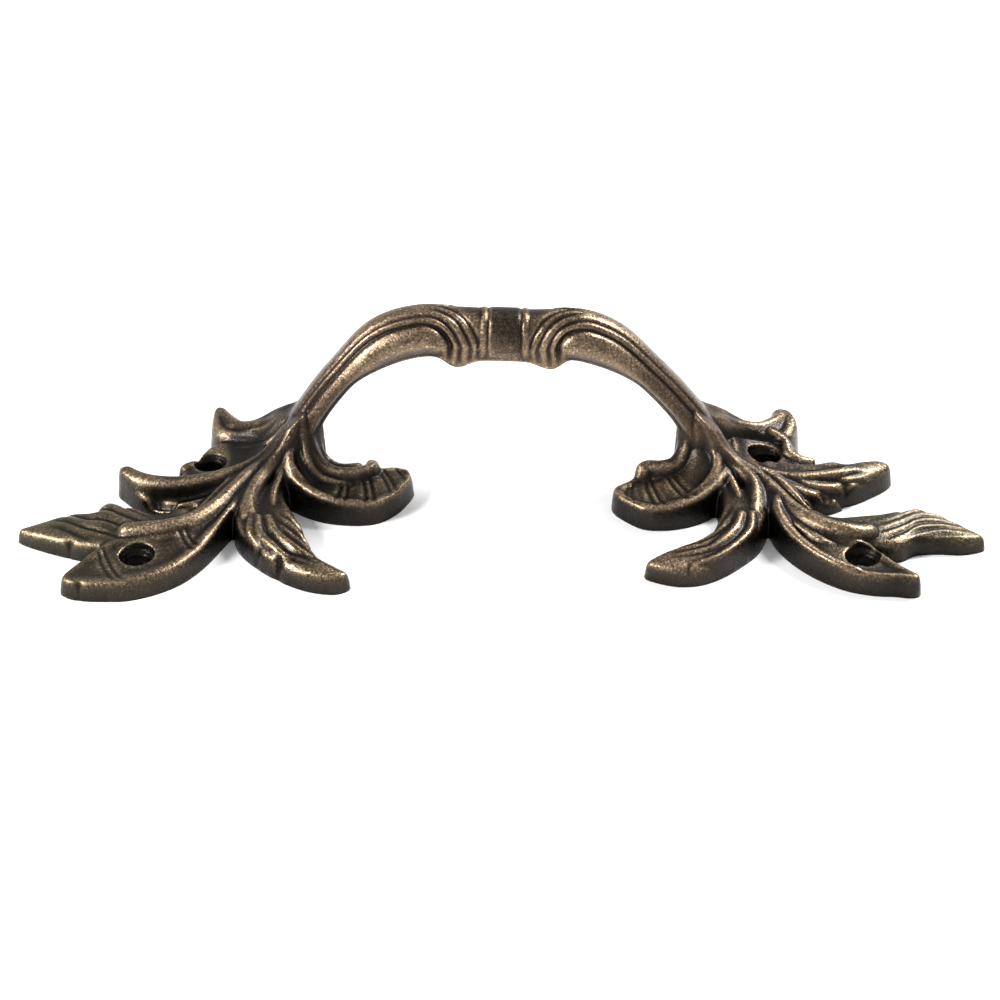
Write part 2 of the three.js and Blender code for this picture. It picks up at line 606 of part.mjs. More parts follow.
// A countersunk screw hole, turned as one profile and sunk through the foot. The mouth
// opens at the level of the leaf around it.
function screwHole([u, w], side, level) {
  const bore = screwBore / 2;
  const mouth = screwMouth / 2;
  const above = level + neckHeight;
  const profile = [
    [0, 2 * buried], [bore, 2 * buried], [bore, level - sinkDepth],
    [mouth, level], [mouth, above], [0, above],
  ].map(([r, z]) => new THREE.Vector2(r, z));
  const turned = new THREE.LatheGeometry(profile, holeSides);
  turned.rotateX(Math.PI / 2);
  turned.translate(side * (neckSpacing / 2 + u * gridStep), neckY + w * gridStep, 0);
  return solid(turned);
}

// Everything below the mounting face is cut away, which leaves the backs flat
function belowFace() {
  const span = 4 * neckSpacing;
  const depth = 4 * neckHeight;
  const slab = new THREE.BoxGeometry(span, span, depth);
  slab.translate(0, 0, -depth / 2);
  return solid(slab);
}

// Where faces cross at a glancing angle the joined skin is left with slivers, triangles
// thinner than this. Each is cleared by drawing two corners together where they all but
// touch, or else by turning its longest edge, as long as no face folds over.
const sliver = 0.003;
const nearMiss = 0.03;
function withoutSlivers(points, triangles) {
  const far = (a, b) => points[a].distanceTo(points[b]);
  const across = ([a, b, c]) => points[b].clone().sub(points[a]).cross(points[c].clone().sub(points[a]));
  const thickness = corners => {
    const [a, b, c] = corners;
    return across(corners).length() / Math.max(far(a, b), far(b, c), far(c, a), weld);
  };
  const agrees = (one, other) => across(one).normalize().dot(across(other).normalize()) > 0.5;
  const edge = (a, b) => a * points.length + b;
  let list = triangles;
  for (let pass = 0; pass < 16; pass++) {
    const byEdge = new Map();
    const owners = new Map();
    list.forEach((corners, k) => corners.forEach((v, i) => {
      byEdge.set(edge(v, corners[(i + 1) % 3]), k);
      owners.set(v, [...(owners.get(v) ?? []), k]);
    }));
    const around = v => new Set(owners.get(v).flatMap(k => list[k]).filter(other => other !== v));
    const busy = new Set();
    const gone = new Set();

    const drawTogether = (keep, drop) => {
      const near = [...new Set([...owners.get(keep), ...owners.get(drop)])];
      const shared = [...around(keep)].filter(v => around(drop).has(v));
      if (far(keep, drop) > nearMiss || shared.length !== 2 || near.some(k => busy.has(k))) return false;
      const moved = owners.get(drop).filter(k => !list[k].includes(keep));
      const after = moved.map(k => list[k].map(v => (v === drop ? keep : v)));
      const sound = after.every((corners, i) => {
        if (thickness(corners) < sliver) return false;
        return thickness(list[moved[i]]) < sliver || agrees(corners, list[moved[i]]);
      });
      if (!sound) return false;
      owners.get(drop).filter(k => list[k].includes(keep)).forEach(k => gone.add(k));
      moved.forEach((k, i) => { list[k] = after[i]; });
      near.forEach(k => busy.add(k));
      return true;
    };

    const turnEdge = (k, [a, b, c]) => {
      const beyond = byEdge.get(edge(b, a));
      if (busy.has(beyond)) return;
      const d = list[beyond].find(v => v !== a && v !== b);
      const turned = [[a, d, c], [d, b, c]];
      if (byEdge.has(edge(c, d)) || byEdge.has(edge(d, c))) return;
      if (Math.min(...turned.map(thickness)) <= thickness(list[k])) return;
      const stays = turned.every(corners => agrees(corners, list[beyond]));
      if (thickness(list[beyond]) >= sliver && !stays) return;
      [list[k], list[beyond]] = turned;
      busy.add(k).add(beyond);
    };

    list.forEach((corners, k) => {
      if (busy.has(k) || thickness(corners) >= sliver) return;
      const edges = [0, 1, 2].map(i => [corners[i], corners[(i + 1) % 3], corners[(i + 2) % 3]]);
      edges.sort((p, q) => far(p[0], p[1]) - far(q[0], q[1]));
      const [one, other] = edges[0];
      if (drawTogether(one, other) || drawTogether(other, one)) return;
      turnEdge(k, edges[2]);
    });
    list = list.filter((_, k) => !gone.has(k));
    if (busy.size === 0) break;
  }
  return list;
}

function casting() {
  let grip = arch();
  for (const end of [-1, 1]) {
    for (const side of [-1, 1]) grip = grip.subtract(groove(end, side));
  }
  let body = joined([grip, foot(leftFoot, -1), foot(rightFoot, 1)]).subtract(belowFace());
  const levels = [leafHeight + 0.2, panelHeight - dishDepth + 0.4];
  leftFoot.holes.forEach((hole, i) => { body = body.subtract(screwHole(hole, -1, levels[i])); });
  rightFoot.holes.forEach((hole, i) => { body = body.subtract(screwHole(hole, 1, levels[i])); });
  const mesh = body.getMesh();
  const points = [];
  for (let k = 0; k < mesh.vertProperties.length; k += 3) {
    points.push(new THREE.Vector3().fromArray(mesh.vertProperties, k));
  }
  const triangles = [];
  for (let k = 0; k < mesh.triVerts.length; k += 3) {
    triangles.push(Array.from(mesh.triVerts.subarray(k, k + 3)));
  }
  const geometry = new THREE.BufferGeometry().setFromPoints(points);
  geometry.setIndex(withoutSlivers(points, triangles).flat());
  geometry.computeVertexNormals();
  return geometry;
}

const antiqueBrass = new THREE.MeshStandardMaterial({ color: 0x6f5c40, roughness: 0.42, metalness: 1 });

const pull = new THREE.Group();
const body = new THREE.Mesh(casting(), antiqueBrass);
body.name = 'pull_casting';
pull.add(body);

export default pull;
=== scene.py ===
import math

import bmesh
import bpy
import numpy as np
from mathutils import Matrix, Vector


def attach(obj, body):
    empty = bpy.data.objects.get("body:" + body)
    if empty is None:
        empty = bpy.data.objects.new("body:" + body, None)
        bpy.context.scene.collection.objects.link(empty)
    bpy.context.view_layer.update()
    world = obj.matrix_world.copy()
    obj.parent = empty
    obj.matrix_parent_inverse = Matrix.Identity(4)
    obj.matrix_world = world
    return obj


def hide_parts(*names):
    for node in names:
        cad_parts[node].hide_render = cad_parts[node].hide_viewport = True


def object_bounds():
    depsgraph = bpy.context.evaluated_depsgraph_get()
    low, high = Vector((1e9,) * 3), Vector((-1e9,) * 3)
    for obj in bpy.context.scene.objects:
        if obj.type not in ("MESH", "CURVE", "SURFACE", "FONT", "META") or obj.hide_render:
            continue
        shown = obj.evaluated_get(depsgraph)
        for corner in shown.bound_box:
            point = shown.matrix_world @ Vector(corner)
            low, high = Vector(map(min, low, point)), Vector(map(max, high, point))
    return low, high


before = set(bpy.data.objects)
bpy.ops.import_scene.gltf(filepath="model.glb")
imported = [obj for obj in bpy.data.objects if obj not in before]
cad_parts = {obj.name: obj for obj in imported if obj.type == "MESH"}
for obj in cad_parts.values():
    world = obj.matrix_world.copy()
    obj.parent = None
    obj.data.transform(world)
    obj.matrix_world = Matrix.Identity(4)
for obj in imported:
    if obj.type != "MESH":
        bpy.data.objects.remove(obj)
cad_low, cad_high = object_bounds()

# THE DRAWING OF A FOOT
# The pull is one brass casting, poured in a mould pressed from a carved pattern. A foot is drawn
# flat, as its carver would: pairs of rails bound each leaf, and its height is read along it.
# Everything is in millimetres until the casting is finished, u out from the neck and w back.
neck_spacing = 78.0
neck_y = 11.6

# The drawing board has a height for each cell, and a cell with no metal is bare.
cell = 0.15
u_low, u_high = -26.0, 46.0
w_low, w_high = -40.0, 18.0
columns = int(round((u_high - u_low) / cell)) + 1
rows = int(round((w_high - w_low) / cell)) + 1
board_u = u_low + cell * np.arange(columns)[None, :]
board_w = w_low + cell * np.arange(rows)[:, None]
bare = -3.0


def ramp(x, low, high):
    """A smooth step from 0 at low to 1 at high"""
    share = np.clip((x - low) / (high - low), 0.0, 1.0)
    return share * share * (3 - 2 * share)


def through(points, shares):
    """Places on a smooth line through drawn points, by their share of its length"""
    drawn = np.array(points, float)
    knots = np.vstack([2 * drawn[0] - drawn[1], drawn, 2 * drawn[-1] - drawn[-2]])
    fine = []
    for k in range(len(drawn) - 1):
        p0, p1, p2, p3 = knots[k : k + 4]
        gaps = [max(np.linalg.norm(b - a), 1e-4) ** 0.5 for a, b in ((p0, p1), (p1, p2), (p2, p3))]
        leave = (p1 - p0) / gaps[0] - (p2 - p0) / (gaps[0] + gaps[1]) + (p2 - p1) / gaps[1]
        reach = (p2 - p1) / gaps[1] - (p3 - p1) / (gaps[1] + gaps[2]) + (p3 - p2) / gaps[2]
        leave, reach = leave * gaps[1], reach * gaps[1]
        t = np.linspace(0, 1, 60, endpoint=k == len(drawn) - 2)[:, None]
        fine.append(
            p1 + leave * t + (3 * (p2 - p1) - 2 * leave - reach) * t**2 + (2 * (p1 - p2) + leave + reach) * t**3
        )
    line = np.vstack(fine)
    gone = np.concatenate([[0], np.cumsum(np.linalg.norm(np.diff(line, axis=0), axis=1))])
    at = np.clip(shares, 0, 1) * gone[-1]
    return np.stack([np.interp(at, gone, line[:, axis]) for axis in range(line.shape[1])], axis=-1), gone[-1]


def along(values, shares):
    """A height that changes smoothly along a leaf, from evenly spaced readings"""
    v = np.array([values[0], *values, values[-1]], float)
    x = np.clip(shares, 0, 1) * (len(values) - 1)
    k = np.minimum(x.astype(int), len(values) - 2)
    t = x - k
    p0, p1, p2, p3 = v[k], v[k + 1], v[k + 2], v[k + 3]
    return 0.5 * (
        2 * p1 + (p2 - p0) * t + (2 * p0 - 5 * p1 + 4 * p2 - p3) * t**2 + (3 * p1 - p0 - 3 * p2 + p3) * t**3
    )


def press(relief, u, w, z):
    """Presses drawn places into a foot's relief, where the highest one stays"""
    i = np.rint((np.asarray(w) - w_low) / cell).astype(int)
    j = np.rint((np.asarray(u) - u_low) / cell).astype(int)
    inside = (i >= 0) & (i < rows) & (j >= 0) & (j < columns)
    np.maximum.at(relief.ravel(), (i * columns + j)[inside], z[inside])


# Leaves and panels: cast relief about 3 to 6 mm thick with rounded edges. A leaf has flutes cut
# along it and small notches in its edge. A panel has a sunk floor inside a rim, with double
# strikes across it and fine tool lines.
cast_edge = 1.25
draft = 0.3
root_drop, root_share = 2.5, 0.14
strike_gap, strike_width, strike_depth = 0.62, 0.32, 0.6
tool_pitch, tool_depth = 1.05, 0.05
cross_pitch, cross_depth = 1.3, 0.025


def leaf(relief, front, back, front_top, back_top, camber=(0, 0), dish=None, rim=1.9, blunt=2.4,
         flutes=0, sweep=1.0, plain=0.3, flute_depth=0.55, shown=(0.25, 0.8), lobes=0.0,
         strikes=(), lined=None):
    """Metal between a front and a back rail, with the height read along each of them"""
    s, t = np.meshgrid(np.linspace(0, 1, 900), np.linspace(0, 1, 330), indexing="ij")
    share = s[:, 0]
    near, near_length = through(front, share)
    far, far_length = through(back, share)
    width = np.linalg.norm(far - near, axis=1)[:, None]
    run = (near_length + far_length) / 2
    u = near[:, None, 0] + (far - near)[:, None, 0] * t
    w = near[:, None, 1] + (far - near)[:, None, 1] * t
    level = along(front_top, share)[:, None] * (1 - t) + along(back_top, share)[:, None] * t
    level = level + along(camber, share)[:, None] * 4 * t * (1 - t) - root_drop * (1 - ramp(s, 0, root_share))
    # flutes fan from the stem towards the back edge, or the front one, and lobe its line
    across = t if sweep > 0 else 1 - t
    beat = flutes * (across - abs(sweep) * (s - shown[0]))
    groove = (1 - np.abs(np.sin(np.pi * beat))) ** 1.6
    fade = ramp(s, shown[0] - 0.12, shown[0] + 0.1) * (1 - ramp(s, shown[1] - 0.12, shown[1] + 0.12))
    bite = lobes * groove * fade
    to_front = t * width - (bite if sweep < 0 else 0)
    to_back = (1 - t) * width - (bite if sweep > 0 else 0)
    side = np.minimum(to_front, to_back)
    end = (1 - s) * run
    curve = np.minimum(blunt, 0.5 * width)
    corner = curve - np.hypot(np.maximum(curve - end, 0), np.maximum(curve - side, 0))
    to_edge = np.where((end > curve) & (side > curve), np.minimum(end, side), corner)
    round_edge = np.minimum(cast_edge, 0.45 * width)
    if flutes:
        cut = np.minimum(flute_depth, width * 0.09) * fade * ramp(across, plain - 0.12, plain + 0.15)
        fine = (1 - np.abs(np.sin(2 * np.pi * beat + 0.7))) ** 2
        level = level - cut * (groove + 0.3 * fine)
    if dish is not None:
        floor = ramp(to_edge, rim * 0.75, rim + 0.7)
        level = level - along(dish, share)[:, None] * floor
        for place in strikes:
            for offset in (-strike_gap, strike_gap):
                mark = np.exp(-((((s - place) * run - offset - 0.7 * np.sin(3 * t)) / strike_width) ** 2))
                level = level - strike_depth * mark * ramp(to_edge, rim * 0.4, rim + 0.3)
        if lined is not None:
            span = ramp(s, lined[0], lined[0] + 0.05) * (1 - ramp(s, lined[1] - 0.05, lined[1]))
            lines_across = np.cos(2 * np.pi * s * run / tool_pitch + 2.5 * np.sin(4 * t))
            lines_along = np.cos(2 * np.pi * to_back / cross_pitch + 2.5 * np.sin(9 * s))
            level = level - tool_depth * floor * span * lines_across
            level = level - cross_depth * floor * span * lines_along
    lap = np.clip((round_edge + draft - to_edge) / round_edge, 0, 1)
    z = level - round_edge * (1 - np.sqrt(1 - lap**2))
    z = np.where(to_edge < draft, (level - round_edge) * np.clip(to_edge / draft, 0, 1) ** 0.5, z)
    z = np.where(to_edge < 0, bare, z)
    press(relief, u.ravel(), w.ravel(), z.ravel())


# Ribs and stems: rounded blades that fan out of the neck and lie over the leaves. The thick
# stems end in a soft bulb and carry a groove along each flank.
tip_share = 0.25
flank_place, flank_spread = 0.52, 0.13


def rib(relief, line, height, width, flank=0.0, blunt=1.0):
    s, t = np.meshgrid(np.linspace(0, 1, 700), np.linspace(-1, 1, 110), indexing="ij")
    share = s[:, 0]
    spine, run = through(line, share)
    fore, _ = through(line, share + 0.004)
    rear, _ = through(line, share - 0.004)
    heading = fore - rear
    heading /= np.linalg.norm(heading, axis=1)[:, None]
    half = along(width, share)[:, None] / 2
    end = (1 - s) * run
    bulb = np.sqrt(np.clip(1 - (1 - np.clip(end / (half * blunt), 0, 1)) ** 2, 0, 1))
    span = half * (tip_share + (1 - tip_share) * bulb)
    u = spine[:, None, 0] - heading[:, None, 1] * t * span
    w = spine[:, None, 1] + heading[:, None, 0] * t * span
    z = along(height, share)[:, None] - half * (1 - np.sqrt(np.clip(1 - t**2, 0, 1))) - half * 1.1 * (1 - bulb)
    if flank:
        groove = np.exp(-(((np.abs(t) - flank_place) / flank_spread) ** 2))
        z = z - flank * groove * ramp(s, 0.03, 0.15) * (1 - ramp(s, 0.8, 0.95))
    press(relief, u.ravel(), w.ravel(), z.ravel())


# Necks: a low mound fills the foot under each leg, and the relief round it sweeps up along the
# leg, so that leaves and ribs seem to grow out of the grip.
mound_reach = (0, 3.4, 5.4, 6.8, 7.8, 8.4)
mound_height = (6.4, 5.9, 4.8, 3.4, 1.8, bare)
leg_u, leg_w = -4.5, -0.6
sweep_height, sweep_reach = 6.2, 9.5
leg_skin_u = (-8, -5.2, -1.5, 1.3, 5)
leg_skin_height = (18.4, 14.8, 11.9, 10.3, 9.6)


def neck(relief):
    """The swelling where a leg of the grip runs into its foot, with a fill between two stems"""
    u, w = np.meshgrid(np.arange(-11, 9, 0.1), np.arange(-10, 9, 0.1), indexing="ij")
    z = np.interp(np.hypot(u + 1, w + 0.5), mound_reach, mound_height)
    press(relief, u.ravel(), w.ravel(), z.ravel())
    rib(relief, [(5, -8), (9.6, -13), (13.6, -17)], [5.6, 4.8, 3.6], [4.5, 4.6, 3.4])


def swept_up(relief):
    """A relief lifted towards its leg, no farther than the leg's own skin"""
    out = np.hypot(np.where(board_u > leg_u, 1, 1.8) * (board_u - leg_u), (board_w - leg_w) / 1.15)
    lifted = relief + sweep_height * np.clip(1 - out / sweep_reach, 0, 1) ** 2
    skin = np.interp(board_u, leg_skin_u, leg_skin_height)
    return np.where(relief > 0, np.maximum(relief, np.minimum(lifted, skin)), relief)


# Torn places: where metal and mould parted badly, small pits break a wall's upper edge.
def tear(relief, places, depth=1.6, spread=0.55):
    for place in places:
        out = np.hypot(board_u - place[0], board_w - place[1])
        relief = relief - depth * np.exp(-((out / spread) ** 2)) * (relief > 0)
    return relief


def soften(relief, spread):
    """Rounds a relief as casting does, over a few tenths of a millimetre"""
    reach = int(3 * spread / cell) + 1
    weights = np.exp(-0.5 * (np.arange(-reach, reach + 1) * cell / spread) ** 2)
    weights /= weights.sum()
    for axis in (0, 1):
        relief = np.apply_along_axis(lambda row: np.convolve(row, weights, mode="same"), axis, relief)
    return relief


# Screw holes: drilled and countersunk after casting. The drill chattered, which left rings
# down the cone.
screw_bore = 4.2
screw_mouth = 6.0
sink_depth = 1.6
ring_depth, ring_count = 0.2, 2.5


def drill(relief, place, level):
    out = np.hypot(board_u - place[0], board_w - place[1])
    slope = (screw_mouth / 2 - out) / (screw_mouth / 2 - screw_bore / 2)
    cone = level - sink_depth * slope + ring_depth * np.sin(2 * np.pi * slope * ring_count)
    relief = np.where(out < screw_mouth / 2, np.minimum(relief, cone), relief)
    return np.where(out < screw_bore / 2, bare, relief)


# Each hole is given by its place on the foot and the height of its mouth.
left_holes = (11.8, -2.3, 4.9), (21.6, -29.4, 3.4)
right_holes = (7.7, 0.2, 5), (21.5, -29.3, 3.3)


def left_relief():
    """The left foot, with u out to the left"""
    relief = np.full((rows, columns), bare)
    neck(relief)
    leaf(relief,  # horn, at the back
         front=[(-4.5, 0), (0.5, 1.4), (4.5, 2.8), (8, 3.8), (11.2, 4.6), (12.6, 7), (13, 13)],
         back=[(-6, 4), (0.5, 7.2), (4, 8), (7, 9.2), (9, 11.8), (10.6, 14.6), (12, 15.2)],
         front_top=[11, 8.6, 6.6, 5.4, 5.2, 5.8, 6.2], back_top=[14.4, 13.4, 10.8, 8, 6.7, 6.6, 6.3],
         camber=[0, 0.4, 0.6, 0.8, 0.6, 0.3], flutes=3, sweep=0.3, plain=-1, flute_depth=0.4, shown=(0.3, 0.8))
    leaf(relief,  # web round the inner screw hole
         front=[(0, -8), (6, -9), (12, -9.5), (17, -8.5)],
         back=[(0, 3), (7, 5.5), (11.8, 4.2), (14.6, -1), (17.2, -5.4)],
         front_top=[6.6, 5.2, 4.8, 4.4], back_top=[7.6, 5.4, 4.8, 4.4])
    leaf(relief,  # curled leaf
         front=[(3, -10), (10, -13), (17, -13.6), (21.3, -12.2), (23.8, -10.7), (26, -8.2), (28, -5.4)],
         back=[(4, -3), (11, -5.8), (16.5, -7.2), (20.3, -7.9), (23.3, -7.2), (26, -5), (27.6, -3.5)],
         front_top=[6.6, 5.4, 4.6, 4, 3.8, 3.9, 4.4], back_top=[7, 6.2, 5.7, 5.5, 5.6, 5.9, 5.9],
         camber=[0, -0.7, -1.8, -2.1, -1.4, -0.3, 0.3], flutes=5, sweep=-0.5, plain=0.1, flute_depth=0.45,
         shown=(0.2, 0.62), lobes=0.5)
    leaf(relief,  # long acanthus leaf
         front=[(10, -20), (20, -26), (26, -27), (31.8, -26), (36.1, -24.3), (40.7, -22.1),
                (43.4, -20.4)],
         back=[(12, -13), (20, -16.6), (25, -13.6), (28.4, -12.5), (30.8, -15), (34.6, -15.2),
               (39, -17.2), (43, -18.9)],
         front_top=[5, 4.4, 3.8, 3.3, 3, 2.7, 2.2], back_top=[5.4, 3.8, 3.6, 3.5, 3.4, 3, 2.6, 2.2],
         camber=[0.4, 0.8, 1, 1, 0.8, 0.5, 0.2], flutes=4, sweep=1.5, plain=0.18, flute_depth=0.75,
         shown=(0.34, 0.74), lobes=0.9)
    leaf(relief,  # dished crescent with the outer screw hole
         front=[(0, -9), (5.5, -16), (8.2, -22.5), (11, -28.6), (14.2, -33), (18.4, -36.1), (23, -37.8),
                (27.5, -37.9), (31, -37.5), (33.6, -36.3)],
         back=[(3, -5), (6.8, -12), (11, -18), (16.6, -22.6), (22, -24), (26.2, -24.6), (29, -27),
               (31, -30), (32.6, -32.2), (34, -34.3)],
         front_top=[6, 5.6, 5, 4.4, 3.9, 3.7, 3.7, 3.6, 3.4, 3.2],
         back_top=[7, 6.4, 6, 5.6, 5.2, 4.9, 4.4, 3.9, 3.5, 3.2],
         dish=[0, 0.2, 0.4, 0.4, 0.35, 0.3, 0.25, 0.15, 0], rim=2.4, blunt=4,
         strikes=(0.46, 0.78), lined=(0.4, 0.9))
    leaf(relief,  # short acanthus leaf, to the front
         front=[(5.5, -9), (6.6, -17), (5.4, -23), (2.6, -27.4), (-2.4, -32.2), (-7.3, -35.1),
                (-11.5, -35.9), (-14, -35.2)],
         back=[(-3, -6), (-2.5, -13), (-4, -17), (-5.6, -20.5), (-7.2, -25), (-9, -29), (-12, -31.6),
               (-14.4, -32.9)],
         front_top=[5, 4.9, 4.6, 4.1, 3.5, 3.2, 3, 2.8], back_top=[5, 4.9, 4.6, 4.3, 3.8, 3.4, 3.1, 2.8],
         camber=[0.4, 0.6, 0.8, 1, 1, 0.9, 0.7, 0.3], flutes=6, sweep=1.1, plain=0.14, flute_depth=0.75,
         shown=(0.46, 0.78), lobes=1.1)
    leaf(relief,  # scrolled crescent, inward
         front=[(1, -3), (-0.7, -8), (-3.9, -11.4), (-8.4, -14.2), (-13.3, -15.2), (-17.6, -14.7),
                (-20.8, -12), (-22.6, -9), (-23.9, -5.4), (-23.4, -3.2)],
         back=[(-6, 3), (-6.6, -1), (-8.4, -3.2), (-11.1, -4.1), (-13.5, -3.4), (-15.5, -2.2),
               (-18, -2.3), (-20.3, -1.8), (-22.6, -2.4)],
         front_top=[6.6, 6.8, 6.6, 5.6, 4.8, 4.3, 4.1, 4, 4, 4],
         back_top=[11, 8, 6.4, 5.6, 5.2, 4.8, 4.4, 4.2, 4],
         dish=[0, 0.2, 0.35, 0.4, 0.4, 0.35, 0.3, 0.2, 0.1],
         strikes=(0.47, 0.61, 0.75, 0.88), lined=(0.5, 0.94))
    rib(relief, [(-5.2, 2), (0, 4.2), (4, 5.9), (7.6, 7.6), (10, 10.8), (11.6, 14)],
        [14, 11.2, 9, 7.4, 7, 6.6], [3.4, 4.2, 4.4, 3.8, 3.2, 2.2], flank=0.3)
    rib(relief, [(-5, 1), (-0.6, 1.8), (3.6, 3.4), (7.4, 4.6), (10.6, 6.2), (12.2, 9)],
        [14, 10.2, 7.4, 6.1, 5.8, 5.8], [1.6, 2, 2, 1.8, 1.6, 1], blunt=3)
    rib(relief, [(-4.8, 1.4), (0.4, -3), (6, -6.4), (12, -8.2), (18, -8.8), (23, -7.8), (27.2, -4.6)],
        [12, 9, 7.3, 6.3, 5.8, 5.8, 5.9], [1.4, 2.2, 2.2, 2.6, 3.4, 3.8, 3])
    rib(relief, [(-5.4, 1.2), (-1, -3.2), (3.6, -7.4), (6.6, -12), (9.7, -17), (13.1, -20.6),
                 (16.8, -22.4), (21.2, -23), (25.6, -22.8)],
        [13, 9.8, 7.9, 7.2, 6.6, 6.3, 6.1, 5.9, 5.3], [1.6, 2.6, 2.9, 3, 3.1, 3.3, 3.6, 3.7, 3.2], flank=0.22)
    rib(relief, [(-5.6, 0.4), (-2.4, -3.4), (0.6, -6.6), (3, -11), (3.9, -16.3), (2.9, -21.4)],
        [13, 9.8, 7.9, 7, 6.5, 5.7], [1.6, 2.6, 3, 3.4, 3.9, 3.6], flank=0.22)
    rib(relief, [(-6.2, -0.4), (-7.2, -2.4), (-9, -4.1), (-11.4, -4.9), (-13.4, -4.5), (-15, -3.4)],
        [11, 8.4, 7, 6.2, 6, 5.6], [1.8, 2.1, 2, 1.8, 1.8, 1.8])
    rib(relief, [(-5.4, -1.8), (-6.4, -4.2), (-8.4, -6), (-11.2, -6.8), (-13.8, -6.5), (-16, -5.2),
                 (-16.9, -3.4), (-15.6, -2.2)],
        [11, 8.8, 7.4, 6.6, 6.4, 6.2, 6, 5.4], [1.8, 2.3, 2.3, 2.1, 2.1, 2, 1.9, 1.6])
    rib(relief, [(-5, -2.8), (-5.6, -5.6), (-7.6, -7.7), (-10.4, -8.6), (-13.2, -8.3)],
        [10, 7.8, 6.2, 5.4, 4.6], [1.2, 1.4, 1.3, 1.1, 0.6], blunt=3)
    rib(relief, [(13.4, -1.6), (15.4, -2.8), (16.8, -4.4)], [4.8, 4.9, 4.7], [2.2, 3, 3.2])
    rib(relief, [(3.2, -20), (3, -24), (0.8, -27.8)], [5.8, 5.3, 4], [1.3, 1.5, 0.8], blunt=3)
    rib(relief, [(2.2, -20), (1.4, -24.4), (-1.6, -28.6), (-5, -31.6)],
        [5.8, 5.5, 5, 3.8], [1.3, 1.6, 1.5, 0.8], blunt=3)
    rib(relief, [(0.4, -20), (-1.2, -24.2), (-4.4, -28), (-8.6, -31)],
        [5.8, 5.5, 5, 3.8], [1.2, 1.4, 1.4, 0.8], blunt=3)
    rib(relief, [(-8, -0.6), (-5.4, -2.8), (-3.6, -3.8), (-2.6, -5.4), (-2.8, -7.6), (-4.8, -9.8),
                 (-8, -11.8)],
        [14, 10, 8.6, 8, 7, 5.9, 4.9], [1.4, 1.8, 1.9, 1.8, 1.8, 1.6, 1])
    # veins between the stems
    rib(relief, [(-5, 1.6), (0, -3), (4.4, -6.6), (8.2, -10.4), (11, -14.6), (14, -18)],
        [11, 8.6, 7.2, 6.2, 5.4, 4.2], [1.2, 1.6, 1.6, 1.6, 1.4, 0.7], blunt=3)
    rib(relief, [(-5.2, 0.8), (-0.6, -4.4), (3, -9.2), (5.6, -14.4), (7.8, -19.6), (10.6, -25)],
        [11, 8.4, 7, 6.2, 5.4, 4.2], [1.2, 1.6, 1.6, 1.6, 1.4, 0.7], blunt=3)
    rib(relief, [(-5.6, 0), (-3.2, -4.4), (-1.2, -8.4), (-0.2, -12.6), (-0.2, -17), (-1.6, -22)],
        [11, 8.2, 6.8, 6, 5.2, 4], [1.2, 1.5, 1.5, 1.4, 1.2, 0.7], blunt=3)
    rib(relief, [(-5, 2.2), (-0.6, 0.8), (4, 1), (8, 2.4), (11, 3.2)],
        [11, 8.4, 6.6, 5.4, 4.4], [1.2, 1.7, 1.6, 1.4, 0.7], blunt=3)
    relief = swept_up(relief)
    relief = tear(relief, [(-2.2, -31.7), (-2, -31), (1.7, -28.2), (33.6, -25), (17.3, -12.6), (30.4, -37.3)])
    relief = tear(relief, [(18.4, -12.6), (19.6, -12), (20.8, -11.6)], 1.7, 0.8)
    relief = soften(relief, 0.2)
    for u, w, level in left_holes:
        relief = drill(relief, (u, w), level)
    return relief


